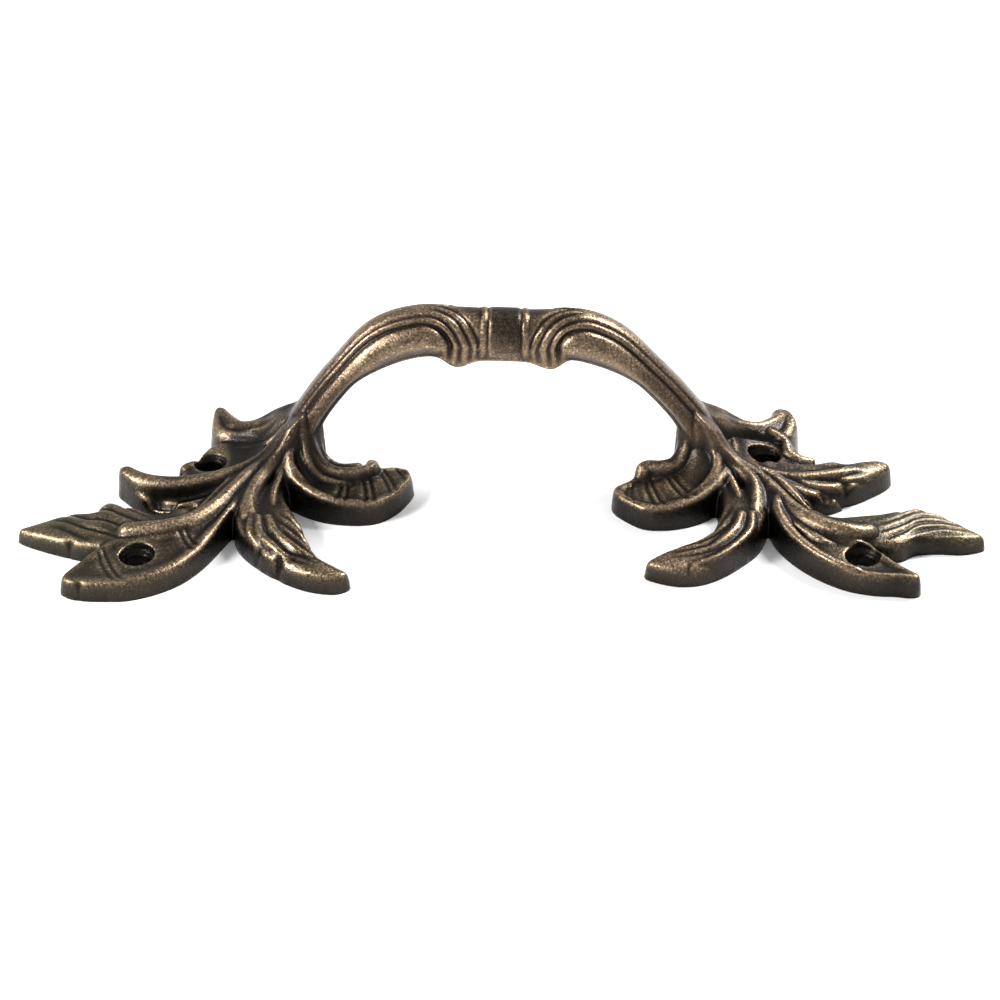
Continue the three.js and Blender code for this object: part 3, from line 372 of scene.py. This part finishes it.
def right_relief():
    """The right foot, with u out to the right; it isn't quite the left one's mirror"""
    relief = np.full((rows, columns), bare)
    neck(relief)
    leaf(relief,  # horn, at the back
         front=[(-4.5, 0), (0.5, 1.4), (5, 3.6), (9, 4), (12.6, 4), (14.4, 8), (14.4, 12)],
         back=[(-6, 4), (1, 7.2), (4.5, 7.9), (6.9, 8.8), (8.8, 10.9), (10.2, 13.9), (12.4, 15)],
         front_top=[11, 8.6, 6.6, 5.6, 5.6, 6, 6.3], back_top=[14.4, 13.4, 10.8, 8, 6.7, 6.6, 6.3],
         camber=[0, 0.3, 0.3, 0.2, 0.1, 0], flutes=3, sweep=0.3, plain=-1, flute_depth=0.4, shown=(0.3, 0.8))
    leaf(relief,  # web round the inner screw hole
         front=[(0, -8), (6, -9), (12, -8.5), (16.4, -4)],
         back=[(0, 3), (7, 6), (12.6, 5), (15, 0.8), (16.4, -1.4)],
         front_top=[6.6, 5, 4.2, 3.6], back_top=[7.6, 5.4, 4.4, 3.6])
    leaf(relief,  # blunt acanthus leaf
         front=[(3, -9), (9, -12), (13.4, -13.4), (17.4, -12.4), (21, -10.2), (24.6, -7.5), (27.8, -5),
                (30, -3)],
         back=[(5, -2), (10, -2.6), (15.8, -2.6), (19.4, -1.6), (21.4, -2.2), (25, -0.8), (28, 0.2),
               (30, -0.4)],
         front_top=[6.6, 5.2, 4.4, 3.8, 3.5, 3.5, 3.6, 3.4],
         back_top=[7, 5.8, 5.4, 5.2, 5.1, 4.8, 4.2, 3.5],
         camber=[0, 0.3, 0.5, 0.7, 0.8, 0.8, 0.4], flutes=5, sweep=-1.0, plain=0.25, flute_depth=1.0,
         shown=(0.3, 0.74), lobes=1.3)
    leaf(relief,  # long acanthus leaf
         front=[(9, -19), (18, -25), (25, -26.6), (28.6, -26.3), (31, -24.6), (35, -24.1), (39.3, -24.3),
                (43.4, -23.2)],
         back=[(12, -13), (17.8, -17.4), (22.4, -17.2), (26.6, -16.3), (29.4, -15.2), (32.7, -14.4),
               (36.2, -15.8), (39.4, -18.2), (43.4, -21.4)],
         front_top=[6.6, 4.6, 3.8, 3.4, 3.2, 2.9, 2.7, 2.3],
         back_top=[5.4, 3.9, 3.6, 3.7, 3.7, 3.6, 3.3, 2.8, 2.3],
         camber=[0.4, 0.6, 0.9, 0.9, 0.8, 0.5, 0.2], flutes=5, sweep=1.5, plain=0.15, flute_depth=0.8,
         shown=(0.5, 0.88), lobes=1.1)
    leaf(relief,  # dished crescent with the outer screw hole
         front=[(0, -9), (6, -16), (8.2, -23), (10.6, -27.4), (14.5, -31.9), (18.7, -34.9), (22.9, -36.2),
                (26.5, -36.5), (28.8, -36.9), (30.4, -36.6)],
         back=[(3, -5), (7.4, -12), (11.2, -17.6), (15.4, -21.6), (19.4, -24), (23, -25.6), (25.2, -28.2),
               (27, -30.8), (29, -33), (30.8, -34.8)],
         front_top=[6, 5.6, 5.2, 4.8, 4.4, 4.1, 3.9, 3.9, 3.9, 3.8],
         back_top=[7, 6.4, 6, 5.6, 5.2, 4.9, 4.4, 3.9, 3.8, 3.8],
         dish=[0, 0.5, 1.3, 1.4, 1.2, 0.9, 0.7, 0.5, 0.1], rim=1.8, blunt=0.7)
    leaf(relief,  # short acanthus leaf, to the front
         front=[(6, -9), (7, -16.5), (4.8, -23.8), (1.5, -27.9), (-1.9, -31.1), (-5.7, -33.3),
                (-9.6, -33.6), (-14.6, -31.8)],
         back=[(-3, -6), (-1.4, -13), (-1.8, -17.8), (-3.4, -22), (-6, -24.4), (-9.4, -25.8),
               (-12.4, -27.8), (-15.2, -29.9)],
         front_top=[5, 4.9, 4.6, 4.1, 3.6, 3.2, 3, 2.8], back_top=[5, 4.9, 4.7, 4.4, 3.9, 3.5, 3.1, 2.8],
         camber=[0.4, 0.6, 0.9, 1, 1, 0.9, 0.7, 0.3], flutes=5, sweep=0.7, plain=0.3, flute_depth=0.7,
         shown=(0.4, 0.78), lobes=1.1)
    leaf(relief,  # scrolled crescent, inward
         front=[(2, -3), (0.8, -9), (-2, -12.6), (-5.9, -15.4), (-10.2, -16.7), (-14.2, -16.4),
                (-17.2, -14), (-19.2, -11.4), (-19.8, -9.4)],
         back=[(-6, 3), (-7, -1), (-8.4, -3.4), (-11.2, -3.9), (-13.2, -3), (-15, -4.6), (-16.6, -6.4),
               (-18, -7.4), (-19.2, -8.2)],
         front_top=[6.6, 6.8, 6.6, 5.6, 4.9, 4.4, 4.2, 4.1, 4],
         back_top=[11, 8, 6.6, 5.8, 5.4, 5, 4.4, 4.2, 4],
         dish=[0, 0.2, 0.45, 0.5, 0.5, 0.5, 0.4, 0.3, 0.1], rim=2.3,
         strikes=(0.44, 0.62, 0.8), lined=(0.66, 0.94))
    rib(relief, [(-5.2, 2), (0, 4.2), (4, 6), (7.4, 7.2), (10, 9.4), (12.2, 13)],
        [14, 11.2, 9, 7.4, 7, 6.6], [3.4, 4, 4, 3.4, 3.2, 2.6], flank=0.3)
    rib(relief, [(-4.8, 1.4), (0.4, -3.2), (6, -6.2), (12, -7.4), (17, -6.8), (21.4, -5.4), (26.4, -3)],
        [12, 8.6, 6.8, 6, 5.8, 5.6, 4.6], [1.4, 2.2, 2, 2, 2.2, 2.2, 1.4])
    rib(relief, [(-5.4, 1.2), (-0.4, -3.4), (4.8, -7.8), (8.2, -12.6), (10.6, -17), (13.6, -20.6),
                 (17.2, -23), (21, -23.8), (24.8, -22.6)],
        [13, 9.8, 7.9, 7.1, 6.6, 6.3, 6.2, 6, 5.2], [1.6, 2.4, 2.4, 2.5, 2.7, 3, 3.4, 3.6, 3], flank=0.22)
    rib(relief, [(-5.6, 0.4), (-2, -3.4), (2, -6.4), (4.6, -10.4), (4.8, -15), (3.6, -21)],
        [13, 9.8, 7.9, 7, 6.2, 5.2], [1.6, 2.6, 2.8, 3.2, 3.4, 2.6], flank=0.25)
    rib(relief, [(-6.2, -0.4), (-7, -2.6), (-8.4, -4.5), (-11.2, -5.2), (-13.4, -4.9), (-15, -6.6)],
        [11, 8.6, 7.2, 6.8, 6.6, 5.9], [2, 2.8, 3.2, 3.2, 3.4, 3.2])
    rib(relief, [(-8, -0.6), (-5.2, -2.8), (-2.8, -3.6), (-1.4, -5.4), (-1.5, -8), (-3.6, -10.8),
                 (-6.8, -13)],
        [14, 10, 8.6, 8, 7, 5.9, 4.9], [1.4, 1.8, 1.9, 1.9, 1.8, 1.6, 1])
    rib(relief, [(3.8, -19), (3.2, -23.4), (0.6, -27.4), (-3, -30.6), (-7, -31.6)],
        [5.9, 5.5, 5, 4.6, 3.8], [1.2, 1.5, 1.5, 1.3, 0.8], blunt=3)
    rib(relief, [(2, -19), (0.8, -23), (-2, -26.6), (-5.6, -29.2)],
        [5.9, 5.6, 5, 4], [1.2, 1.5, 1.4, 0.8], blunt=3)
    rib(relief, [(9, -13.4), (8.2, -17.6), (9.4, -22.4), (12.2, -27.6), (16.2, -31.8), (21, -34.3)],
        [6.5, 6, 5.4, 5, 4.6, 4.2], [1.2, 1.8, 2.1, 2, 1.8, 1], blunt=3)
    # ridges beside the long stem and round the inner screw hole
    rib(relief, [(6.6, -12.4), (9.4, -18.4), (12.6, -22.6), (16.2, -25.6), (19.6, -26.2)],
        [6, 5.6, 5, 4.3, 3.2], [1.4, 1.6, 1.7, 1.5, 0.6], blunt=3)
    rib(relief, [(8.8, 6.2), (11.4, 4), (12, 1), (14.2, -0.6), (16.8, -0.8)],
        [6.8, 6.2, 5.6, 5, 4.6], [1.8, 1.9, 1.9, 2, 1.8])
    # veins between the stems
    rib(relief, [(-5, 1.6), (0.6, -2.8), (5.4, -5.6), (9.4, -8.8), (12, -12.8), (14.6, -16.6)],
        [11, 8.6, 7, 6, 5.2, 4], [1.2, 1.6, 1.6, 1.5, 1.3, 0.7], blunt=3)
    rib(relief, [(-5.6, 0), (-2.4, -4.4), (0.4, -8), (1.6, -12), (1.8, -16.6), (0.4, -21.4)],
        [11, 8.2, 6.8, 6, 5.2, 4], [1.2, 1.5, 1.5, 1.4, 1.2, 0.7], blunt=3)
    relief = swept_up(relief)
    relief = tear(relief, [(-7.8, -33.6), (-7.7, -33), (-7.6, -32.4)], 0.4, 0.4)
    relief = tear(relief, [(17, -11.4), (18.4, -11), (19.8, -10.2), (21, -9.2)], 1.6, 0.8)
    relief = soften(relief, 0.2)
    for u, w, level in right_holes:
        relief = drill(relief, (u, w), level)
    return relief


# Each foot becomes a closed skin that goes a little deeper than its flat back, which is cut later.
edge_height, skirt_height, under_height = -0.8, -0.6, -1.2


def closed_foot(relief, side):
    shown = relief > edge_height
    quads = shown[:-1, :-1] | shown[1:, :-1] | shown[:-1, 1:] | shown[1:, 1:]
    u, w = np.broadcast_arrays(board_u, board_w)
    top = np.maximum(relief, skirt_height)
    x = side * (neck_spacing / 2 + u)
    places = np.stack([x, neck_y + w, top], axis=-1).reshape(-1, 3)
    under = places.copy()
    under[:, 2] = under_height
    number = np.arange(rows * columns).reshape(rows, columns)
    a, b = number[:-1, :-1], number[:-1, 1:]
    c, d = number[1:, 1:], number[1:, :-1]
    deep = rows * columns
    faces = [np.stack([a, b, c, d], -1)[quads], np.stack([d, c, b, a], -1)[quads] + deep]
    padded = np.pad(quads, 1)
    for p, q, beside in (
        (b, a, padded[:-2, 1:-1]), (d, c, padded[2:, 1:-1]),
        (a, d, padded[1:-1, :-2]), (c, b, padded[1:-1, 2:]),
    ):
        open_side = quads & ~beside
        faces.append(np.stack([p, q, q + deep, p + deep], -1)[open_side])
    return np.vstack([places, under]), np.vstack(faces)


# THE GRIP
# A bar that springs from neck to neck. Its front and back swell into a belly on each side of the
# middle band. Grooves follow each belly's edge and wrap round its end, where it makes a bud, and
# a collar closes each side of the band.
grip_rise = 27.7
lean = 0.15
bar_width, bar_height = 8.8, 8.3
leg_height, footing_height, footing_width = 5.3, 8.6, 11.0
footing_top, shoulder_line = 0.55, 0.72
belly_line, belly_swell, swell_run = 4.4, 0.8, 2.6
bud_inset, bud_radius = 8.7, 6.0
band_offset, band_half, collar_half = 1.2, 2.8, 0.75
band_rise, collar_rise, seam_depth, seam_spread = 0.25, 0.24, 0.3, 0.22
cheek_drop, cheek_spread = 1.5, 2.4
crown_share, crown_power = 0.7, 0.85
hem_radius, under_share = 0.7, 0.42

# Each groove has its place outside the belly's edge, its spread, its depth along the leg, and
# how much deeper it gets round the bud.
grooves = (0.0, 0.42, 0.5, 0.3), (1.55, 0.3, 0.32, 0.2), (3.2, 0.36, 0.0, 0.5), (4.7, 0.34, 0.0, 0.42)

# The grip's centre line, in shares of half the spacing of the necks and of the rise.
arch_line = [
    (-0.95, -0.04), (-0.93, 0.2), (-0.88, 0.39), (-0.785, 0.6), (-0.65, 0.81), (-0.5, 0.955), (-0.33, 1.015),
    (-0.15, 0.995), (0, 0.985), (0.17, 0.98), (0.33, 0.99), (0.48, 0.925), (0.62, 0.795), (0.78, 0.575),
    (0.875, 0.395), (0.93, 0.2), (0.95, -0.04),
]


def moulding(place, girth):
    """How far the grip's skin stands out, by the place along it and the way round from its crest"""
    from_band = np.abs(place - band_offset)
    past = bud_inset - from_band + bud_radius
    above = belly_line - girth + bud_radius
    round_bud = np.hypot(np.maximum(past, 0), np.maximum(above, 0))
    outside = round_bud + np.minimum(np.maximum(past, above), 0) - bud_radius
    wrapped = ramp(past, 1.0, 4.0)
    belly = belly_swell * ramp(-outside, -0.1, swell_run)
    for line, spread, depth, deeper in grooves:
        belly = belly - (depth + deeper * wrapped) * np.exp(-(((outside - line) / spread) ** 2))
    collar = collar_rise * (1 - ramp(np.abs(from_band - band_half - collar_half), 0.15, collar_half))
    band = band_rise * (1 - ramp(from_band, band_half, band_half + 0.3))
    seam = seam_depth * np.exp(-(((from_band - band_half) / seam_spread) ** 2))
    return np.where(from_band < band_half + 2 * collar_half, np.maximum(collar, band) - seam, belly)


def grip_skin():
    """The grip as rings of points along its centre line, joined by four-sided faces"""
    shares = np.linspace(0, 1, 880)
    drawn = [(x * neck_spacing / 2, neck_y + lean * z * grip_rise, z * grip_rise) for x, z in arch_line]
    centre, length = through(drawn, shares)
    ahead, _ = through(drawn, shares + 0.001)
    behind, _ = through(drawn, shares - 0.001)
    heading = ahead - behind
    heading /= np.linalg.norm(heading, axis=1)[:, None]
    fore = np.array([0, -1, lean]) / math.hypot(1, lean)
    out = np.cross(fore, heading)
    place = (shares - 0.5) * length
    from_band = np.abs(place - band_offset)
    footing = 1 - ramp(centre[:, 2], 0, grip_rise * footing_top)
    shoulder = ramp(centre[:, 2], grip_rise * shoulder_line, grip_rise)
    height = (leg_height + (bar_height - leg_height) * shoulder) * (1 - footing) + footing_height * footing
    width = bar_width * (1 - footing) + footing_width * footing
    drop = cheek_drop * np.exp(-(((from_band - bud_inset + 1) / cheek_spread) ** 2))
    turn = np.linspace(0, math.pi / 2, 90)
    crown_out = 0.5 - crown_share * (1 - np.clip(np.cos(turn), 0, 1) ** crown_power)
    crown_side = np.sin(turn) ** crown_power
    half_out = height[:, None] * crown_out[None, :]
    half_side = width[:, None] / 2 * crown_side[None, :]
    steps = np.hypot(np.diff(half_out, axis=1), np.diff(half_side, axis=1))
    girth = np.concatenate([np.zeros((len(shares), 1)), np.cumsum(steps, axis=1)], axis=1)
    relief = moulding(place[:, None], girth) * (1 - 0.75 * footing)[:, None]
    far = np.hypot(half_out, half_side)
    half_out = half_out * (1 + relief / far)
    half_side = half_side * (1 + relief / far)
    under = -height / 2 - drop
    hem_turn = np.linspace(0, math.pi / 2, 6)
    low_out = under[:, None] + hem_radius * (1 - np.sin(hem_turn))[None, :]
    low_side = (width * under_share)[:, None] - hem_radius * (1 - np.cos(hem_turn))[None, :]
    wall = np.linspace(0, 1, 14)[None, 1:-1]
    wall_out = half_out[:, -1:] * (1 - wall) + low_out[:, :1] * wall
    wall_side = half_side[:, -1:] * (1 - wall) + low_side[:, :1] * wall
    half_out = np.concatenate([half_out, wall_out, low_out], axis=1)
    half_side = np.concatenate([half_side, wall_side, low_side], axis=1)
    ring_out = np.concatenate([half_out, half_out[:, :0:-1]], axis=1)
    ring_side = np.concatenate([half_side, -half_side[:, :0:-1]], axis=1)
    skin = centre[:, None] + out[:, None] * ring_out[..., None] + fore * ring_side[..., None]
    count = skin.shape[1]
    ring = np.arange(len(shares) - 1)[:, None] * count
    j = np.arange(count)[None, :]
    beside = (j + 1) % count
    faces = np.stack([ring + j, ring + beside, ring + count + beside, ring + count + j], -1).reshape(-1, 4)
    return skin.reshape(-1, 3), faces, count


# THE CASTING
# Feet and grip were poured as one, so their skins are fused into one here, cut flat at the back,
# and the inner corners filled a little, as molten brass fills them.
grain = 0.2


def new_mesh(name, places, faces):
    made = bpy.data.meshes.new(name)
    made.from_pydata(places.tolist(), [], faces)
    made.validate()
    return made


def applied(mesh, name, kind, **settings):
    """A mesh after one modifier, as a new mesh"""
    holder = bpy.data.objects.new(name, mesh)
    bpy.context.scene.collection.objects.link(holder)
    step = holder.modifiers.new(name, kind)
    for key, value in settings.items():
        setattr(step, key, value)
    graph = bpy.context.evaluated_depsgraph_get()
    graph.update()
    made = bpy.data.meshes.new_from_object(holder.evaluated_get(graph))
    bpy.data.objects.remove(holder)
    return made


places, faces, start = [], [], 0
for skin, quads in (closed_foot(left_relief(), -1), closed_foot(right_relief(), 1)):
    used, quads = np.unique(quads, return_inverse=True)
    faces += (quads.reshape(-1, 4) + start).tolist()
    places.append(skin[used])
    start += len(used)
grip_places, grip_faces, count = grip_skin()
faces += (grip_faces + start).tolist()
faces.append([start + k for k in range(count)][::-1])
faces.append([start + len(grip_places) - count + k for k in range(count)])
places.append(grip_places)
rough = new_mesh("rough_casting", np.vstack(places), faces)
loose = bmesh.new()
loose.from_mesh(rough)
bmesh.ops.recalc_face_normals(loose, faces=loose.faces)
loose.to_mesh(rough)
loose.free()
fused = applied(rough, "fuse", "REMESH", mode="VOXEL", voxel_size=grain, adaptivity=0.0)


def corners_of(mesh):
    flat = np.empty(len(mesh.vertices) * 3)
    mesh.vertices.foreach_get("co", flat)
    return flat.reshape(-1, 3)


def edges_of(mesh):
    flat = np.empty(len(mesh.edges) * 2, np.int64)
    mesh.edges.foreach_get("vertices", flat)
    return flat.reshape(-1, 2)


def normals_of(mesh):
    flat = np.empty(len(mesh.vertices) * 3)
    mesh.vertex_normals.foreach_get("vector", flat)
    return flat.reshape(-1, 3)


def averaged(values, edges, rounds):
    """Values spread over their neighbours, a number of rounds"""
    total = len(values)
    share = np.maximum(np.bincount(edges.ravel(), minlength=total), 1)
    for _ in range(rounds):
        spread = np.empty_like(values)
        for axis in range(values.shape[1]):
            one = np.bincount(edges[:, 0], values[edges[:, 1], axis], total)
            two = np.bincount(edges[:, 1], values[edges[:, 0], axis], total)
            spread[:, axis] = (one + two) / share
        values = 0.5 * values + 0.5 * spread
    return values


# Inner corners fill in steps. The first few steps also even out the whole skin a little, and
# the later ones work only near the necks, where the casting stays hot the longest.
steps_everywhere, steps_in_all = 5, 14
evening, filling = 0.12, 0.88
points = corners_of(fused)
lines = edges_of(fused)
for step in range(steps_in_all):
    even = averaged(points, lines, 3)
    fused.vertices.foreach_set("co", points.ravel())
    fused.update()
    sunk = ((even - points) * normals_of(fused)).sum(1)
    fill = filling * ramp(sunk, 0.01, 0.05)
    if step < steps_everywhere:
        fill = fill + evening
    else:
        from_neck = np.hypot(np.abs(points[:, 0]) - neck_spacing / 2 + 2, points[:, 1] - neck_y + 1)
        fill = fill * (1 - ramp(from_neck, 6, 13)) * ramp(points[:, 2], 4, 6)
    points = points + (even - points) * fill[:, None]
fused.vertices.foreach_set("co", points.ravel())
fused.update()

# The flat back is cut by a wide block whose top is the mounting face.
block_width, block_height = 400, 20
block = bpy.data.meshes.new("back_plane")
shape = bmesh.new()
bmesh.ops.create_cube(shape, size=1.0)
bmesh.ops.scale(shape, vec=(block_width, block_width, block_height), verts=shape.verts)
bmesh.ops.translate(shape, vec=(0, 0, -block_height / 2), verts=shape.verts)
shape.to_mesh(block)
shape.free()
cutter = bpy.data.objects.new("back_plane", block)
bpy.context.scene.collection.objects.link(cutter)
cut = applied(fused, "flat_back", "BOOLEAN", operation="DIFFERENCE", solver="MANIFOLD", object=cutter)
bpy.data.objects.remove(cutter)
most_triangles = 185000
triangles = sum(len(p.vertices) - 2 for p in cut.polygons)
if triangles > most_triangles:
    cut = applied(cut, "lighten", "DECIMATE", decimate_type="COLLAPSE", ratio=most_triangles / triangles)

# Where the casting is rubbed, where patina sits and where shade is painted: ridges stand out of
# the surface's own average, and hollows lie under it and keep their patina. The panel floors are
# rubbed cleaner than other hollows. Painted shade darkens the left leg, the screw holes, the right
# end and the low side walls, most near the necks.
fine_relief, wide_relief = 0.03, 0.35
floor_circles = (-1, -14.5, -9.5, 9), (-1, 24, -31, 10), (1, -12, -11, 8.5), (1, 21, -31, 8)
# Painted shade strengths, on the left leg and on the right end
left_leg_painted_shade, right_end_painted_shade = 0.36, 0.3
# Painted shade strengths on the low side walls, away from the necks and near them
outer_wall_painted_shade, inner_wall_painted_shade = 0.68, 1.0
points = corners_of(cut)
lines = edges_of(cut)
normals = normals_of(cut)
fine = ((points - averaged(points, lines, 6)) * normals).sum(1)
wide = ((points - averaged(points, lines, 60)) * normals).sum(1)
x, y, z = points.T


def from_place(side, u, w):
    """Distances over the table from a place on one foot"""
    return np.hypot(side * x - neck_spacing / 2 - u, y - neck_y - w)


cleaned = 0 * fine
for side, u, w, size in floor_circles:
    inside = 1 - ramp(from_place(side, u, w), size - 3, size)
    cleaned = np.maximum(cleaned, inside * ramp(normals[:, 2], 0.5, 0.9))
proud = fine / fine_relief * (1 + 0.25 * cleaned) + wide / wide_relief * (1 - 0.85 * cleaned)
ridge = ramp(proud, 0.05, 1.6) + 0.15 * cleaned
patina_and_shade = ramp(-proud, 0.15, 1.5)
# painted shade: the left leg is darkened against the key lamp's light
patina_and_shade = patina_and_shade + left_leg_painted_shade * ramp(z, 8, 12) * (1 - ramp(z, 19, 25)) * (x < 0)
# painted shade: the right end is darkened to dim the lamps' highlight there
patina_and_shade = patina_and_shade + right_end_painted_shade * ramp(x, 58, 66)
# painted shade on the low side walls, heaviest near the necks
wall = (1 - ramp(normals[:, 2], 0.1, 0.6)) * (1 - ramp(z, 5, 9))
near_neck = 1 - ramp(np.hypot(np.abs(x) - neck_spacing / 2, y - neck_y), 20, 38)
patina_and_shade = patina_and_shade + wall * (outer_wall_painted_shade + (inner_wall_painted_shade - outer_wall_painted_shade) * near_neck)
ridge = ridge * (1 - 0.85 * wall)
# painted shade: ridges on the legs are rubbed less, so the legs show darker
ridge = ridge * (1 - 0.55 * ramp(z, 8, 12) * (1 - ramp(z, 19, 24)))
# painted shade inside the screw holes and on their countersinks
for side, holes in ((-1, left_holes), (1, right_holes)):
    for u, w, _ in holes:
        patina_and_shade = patina_and_shade + 1 - ramp(from_place(side, u, w), screw_mouth / 2 - 0.3, screw_mouth / 2 + 0.15)
# the grip's browner tone, set by height: full on the legs, a little less at the top
raised = ramp(z, 8, 14) - 0.3 * ramp(z, 20, 27)
on_band = 1 - ramp(np.abs(x - band_offset), band_half - 0.5, band_half)
patina_and_shade = patina_and_shade + on_band * ramp(z, 24.4, 26)
green = ramp(np.abs(x), 52, 78)
# Layers: rubbing, patina with painted shade, the grip's tone, and green
spread = averaged(np.stack([ridge, np.clip(patina_and_shade, 0, 1), raised, green], 1), lines, 2)
wear_and_shade_layers = ("rubbed", "patina_and_painted_shade", "grip_tone", "green")
for name, values in zip(wear_and_shade_layers, spread.T):
    layer = cut.attributes.new(name, "FLOAT", "POINT")
    layer.data.foreach_set("value", values.astype(np.float32))
metres = 0.001
points = np.clip(points * metres, np.array(cad_low), np.array(cad_high))
cut.vertices.foreach_set("co", points.ravel())
cut.shade_smooth()
cut.update()
casting = bpy.data.objects.new("casting", cut)
bpy.context.scene.collection.objects.link(casting)


# Antique brass: the casting was blackened all over, then rubbed back, so the ridges show golden
# brown with painted glints, bright specks that stand for highlights, and the hollows stay near
# black; painted shade darkens the walls, the left leg, the screw holes and the right end. The grip
# has its own browner tone, the ends of the leaves are a little green, and the cast skin has fine pits.
black_patina, brown_patina = (0.017, 0.013, 0.0105), (0.042, 0.0305, 0.021)
grip_brown = (0.088, 0.053, 0.037)
worn_brass = (0.365, 0.26, 0.16)
# colour of the painted glints, which stand for highlights
painted_glint_brass = (0.85, 0.76, 0.58)
verdigris = (0.075, 0.078, 0.038)
# near black, for patina in the hollows and for painted shade
patina_and_shade_black = (0.012, 0.0105, 0.0095)
pit_black = (0.016, 0.012, 0.01)


def antique_brass():
    made = bpy.data.materials.new("antique_brass")
    made.use_nodes = True
    tree = made.node_tree
    tree.nodes.clear()

    def node(kind, **settings):
        one = tree.nodes.new(kind)
        for key, value in settings.items():
            setattr(one, key, value)
        return one

    def link(a, b):
        tree.links.new(a, b)

    def calc(operation, a, b):
        one = node("ShaderNodeMath", operation=operation, use_clamp=operation != "MULTIPLY")
        for socket, value in zip(one.inputs, (a, b)):
            if isinstance(value, (int, float)):
                socket.default_value = value
            else:
                link(value, socket)
        return one.outputs[0]

    def weighed(value, weight, base):
        return calc("ADD", calc("MULTIPLY", value, weight), base)

    def cloud(scale, detail, low, high):
        noise = node("ShaderNodeTexNoise")
        noise.inputs["Scale"].default_value = scale
        noise.inputs["Detail"].default_value = detail
        link(place.outputs["Object"], noise.inputs["Vector"])
        spread = node("ShaderNodeMapRange")
        for name, value in (("From Min", low), ("From Max", high)):
            spread.inputs[name].default_value = value
        link(noise.outputs["Fac"], spread.inputs["Value"])
        return spread.outputs[0]

    def mixed(factor, a, b):
        one = node("ShaderNodeMix", data_type="RGBA")
        link(factor, one.inputs[0])
        for socket, value in ((one.inputs[6], a), (one.inputs[7], b)):
            if isinstance(value, tuple):
                socket.default_value = (*value, 1)
            else:
                link(value, socket)
        return one.outputs[2]

    place = node("ShaderNodeTexCoord")
    rubbed, patina_and_painted_shade, grip_tone, green = (
        node("ShaderNodeAttribute", attribute_name=name).outputs["Fac"] for name in wear_and_shade_layers
    )
    patches = cloud(90, 3, 0.35, 0.65)
    grains = cloud(2200, 3, 0.38, 0.62)
    pits = cloud(3000, 2, 0.52, 0.66)
    painted_glints = cloud(2600, 2, 0.6, 0.7)
    blotches = cloud(170, 2, 0.4, 0.6)
    tone = mixed(patches, black_patina, brown_patina)
    tone = mixed(calc("MULTIPLY", grip_tone, 0.8), tone, grip_brown)
    worn = calc("MULTIPLY", rubbed, weighed(grains, 0.36, 0.46))
    worn = calc("MULTIPLY", worn, weighed(blotches, 0.3, 0.76))
    tone = mixed(worn, tone, worn_brass)
    # painted glints: bright specks on the rubbed ridges that stand for highlights
    tone = mixed(calc("MULTIPLY", worn, painted_glints), tone, painted_glint_brass)
    tone = mixed(calc("MULTIPLY", green, 0.38), tone, verdigris)
    # patina in the hollows, with painted shade on walls, the left leg, the holes and the right end
    dark = calc("MULTIPLY", patina_and_painted_shade, weighed(patches, 0.25, 0.8))
    tone = mixed(dark, tone, patina_and_shade_black)
    tone = mixed(calc("MULTIPLY", pits, 0.5), tone, pit_black)
    finish = node("ShaderNodeBsdfPrincipled")
    finish.inputs["Metallic"].default_value = 1.0
    finish.inputs["Coat Weight"].default_value = 0.15
    finish.inputs["Coat Roughness"].default_value = 0.16
    link(tone, finish.inputs["Base Color"])
    link(weighed(grains, 0.16, weighed(patches, 0.1, 0.24)), finish.inputs["Roughness"])
    bump = node("ShaderNodeBump")
    bump.inputs["Strength"].default_value = 0.7
    bump.inputs["Distance"].default_value = 0.00006
    link(calc("ADD", calc("MULTIPLY", grains, 0.6), calc("MULTIPLY", pits, -0.5)), bump.inputs["Height"])
    link(bump.outputs[0], finish.inputs["Normal"])
    link(bump.outputs[0], finish.inputs["Coat Normal"])
    result = node("ShaderNodeOutputMaterial")
    link(finish.outputs[0], result.inputs[0])
    return made


casting.data.materials.clear()
casting.data.materials.append(antique_brass())
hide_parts("pull_casting")
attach(casting, "root")

# THE TABLE, THE LIGHT AND THE CAMERA
# The pull lies on its back on a white table under soft light, seen from the front and above.
table_white = (0.93, 0.93, 0.93, 1)
room_light = 0.55
camera_tilt = math.radians(33)
camera_distance = 0.45
floor_mesh = bpy.data.meshes.new("table")
shape = bmesh.new()
bmesh.ops.create_grid(shape, x_segments=1, y_segments=1, size=3.0)
shape.to_mesh(floor_mesh)
shape.free()
floor = bpy.data.objects.new("table", floor_mesh)
bpy.context.scene.collection.objects.link(floor)
paper = bpy.data.materials.new("white_table")
paper.use_nodes = True
surface = paper.node_tree.nodes["Principled BSDF"]
surface.inputs["Base Color"].default_value = table_white
surface.inputs["Roughness"].default_value = 0.9
floor_mesh.materials.append(paper)

world = bpy.data.worlds.new("white_room")
bpy.context.scene.world = world
world.use_nodes = True
sky = world.node_tree.nodes["Background"]
sky.inputs["Color"].default_value = (1, 1, 1, 1)
sky.inputs["Strength"].default_value = room_light


def lamp(name, where, size, watts, target=(0, 0.005, 0.01)):
    light = bpy.data.lights.new(name, "AREA")
    light.size = size
    light.energy = watts
    made = bpy.data.objects.new(name, light)
    made.location = where
    made.rotation_euler = (Vector(target) - Vector(where)).to_track_quat("-Z", "Y").to_euler()
    bpy.context.scene.collection.objects.link(made)


lamp("key", (-0.48, -0.15, 0.36), 0.16, 4.5)
lamp("back", (0.34, 0.28, 0.46), 0.2, 5.0)

target = Vector((0, 0.0046, 0))
view = bpy.data.cameras.new("camera")
view.sensor_width = 36.0
view.lens = 92.66
camera = bpy.data.objects.new("camera", view)
camera.location = target + camera_distance * Vector((0, -math.cos(camera_tilt), math.sin(camera_tilt)))
camera.rotation_euler = (target - camera.location).to_track_quat("-Z", "Y").to_euler()
bpy.context.scene.collection.objects.link(camera)
bpy.context.scene.camera = camera
bpy.context.scene.view_settings.view_transform = "Standard"
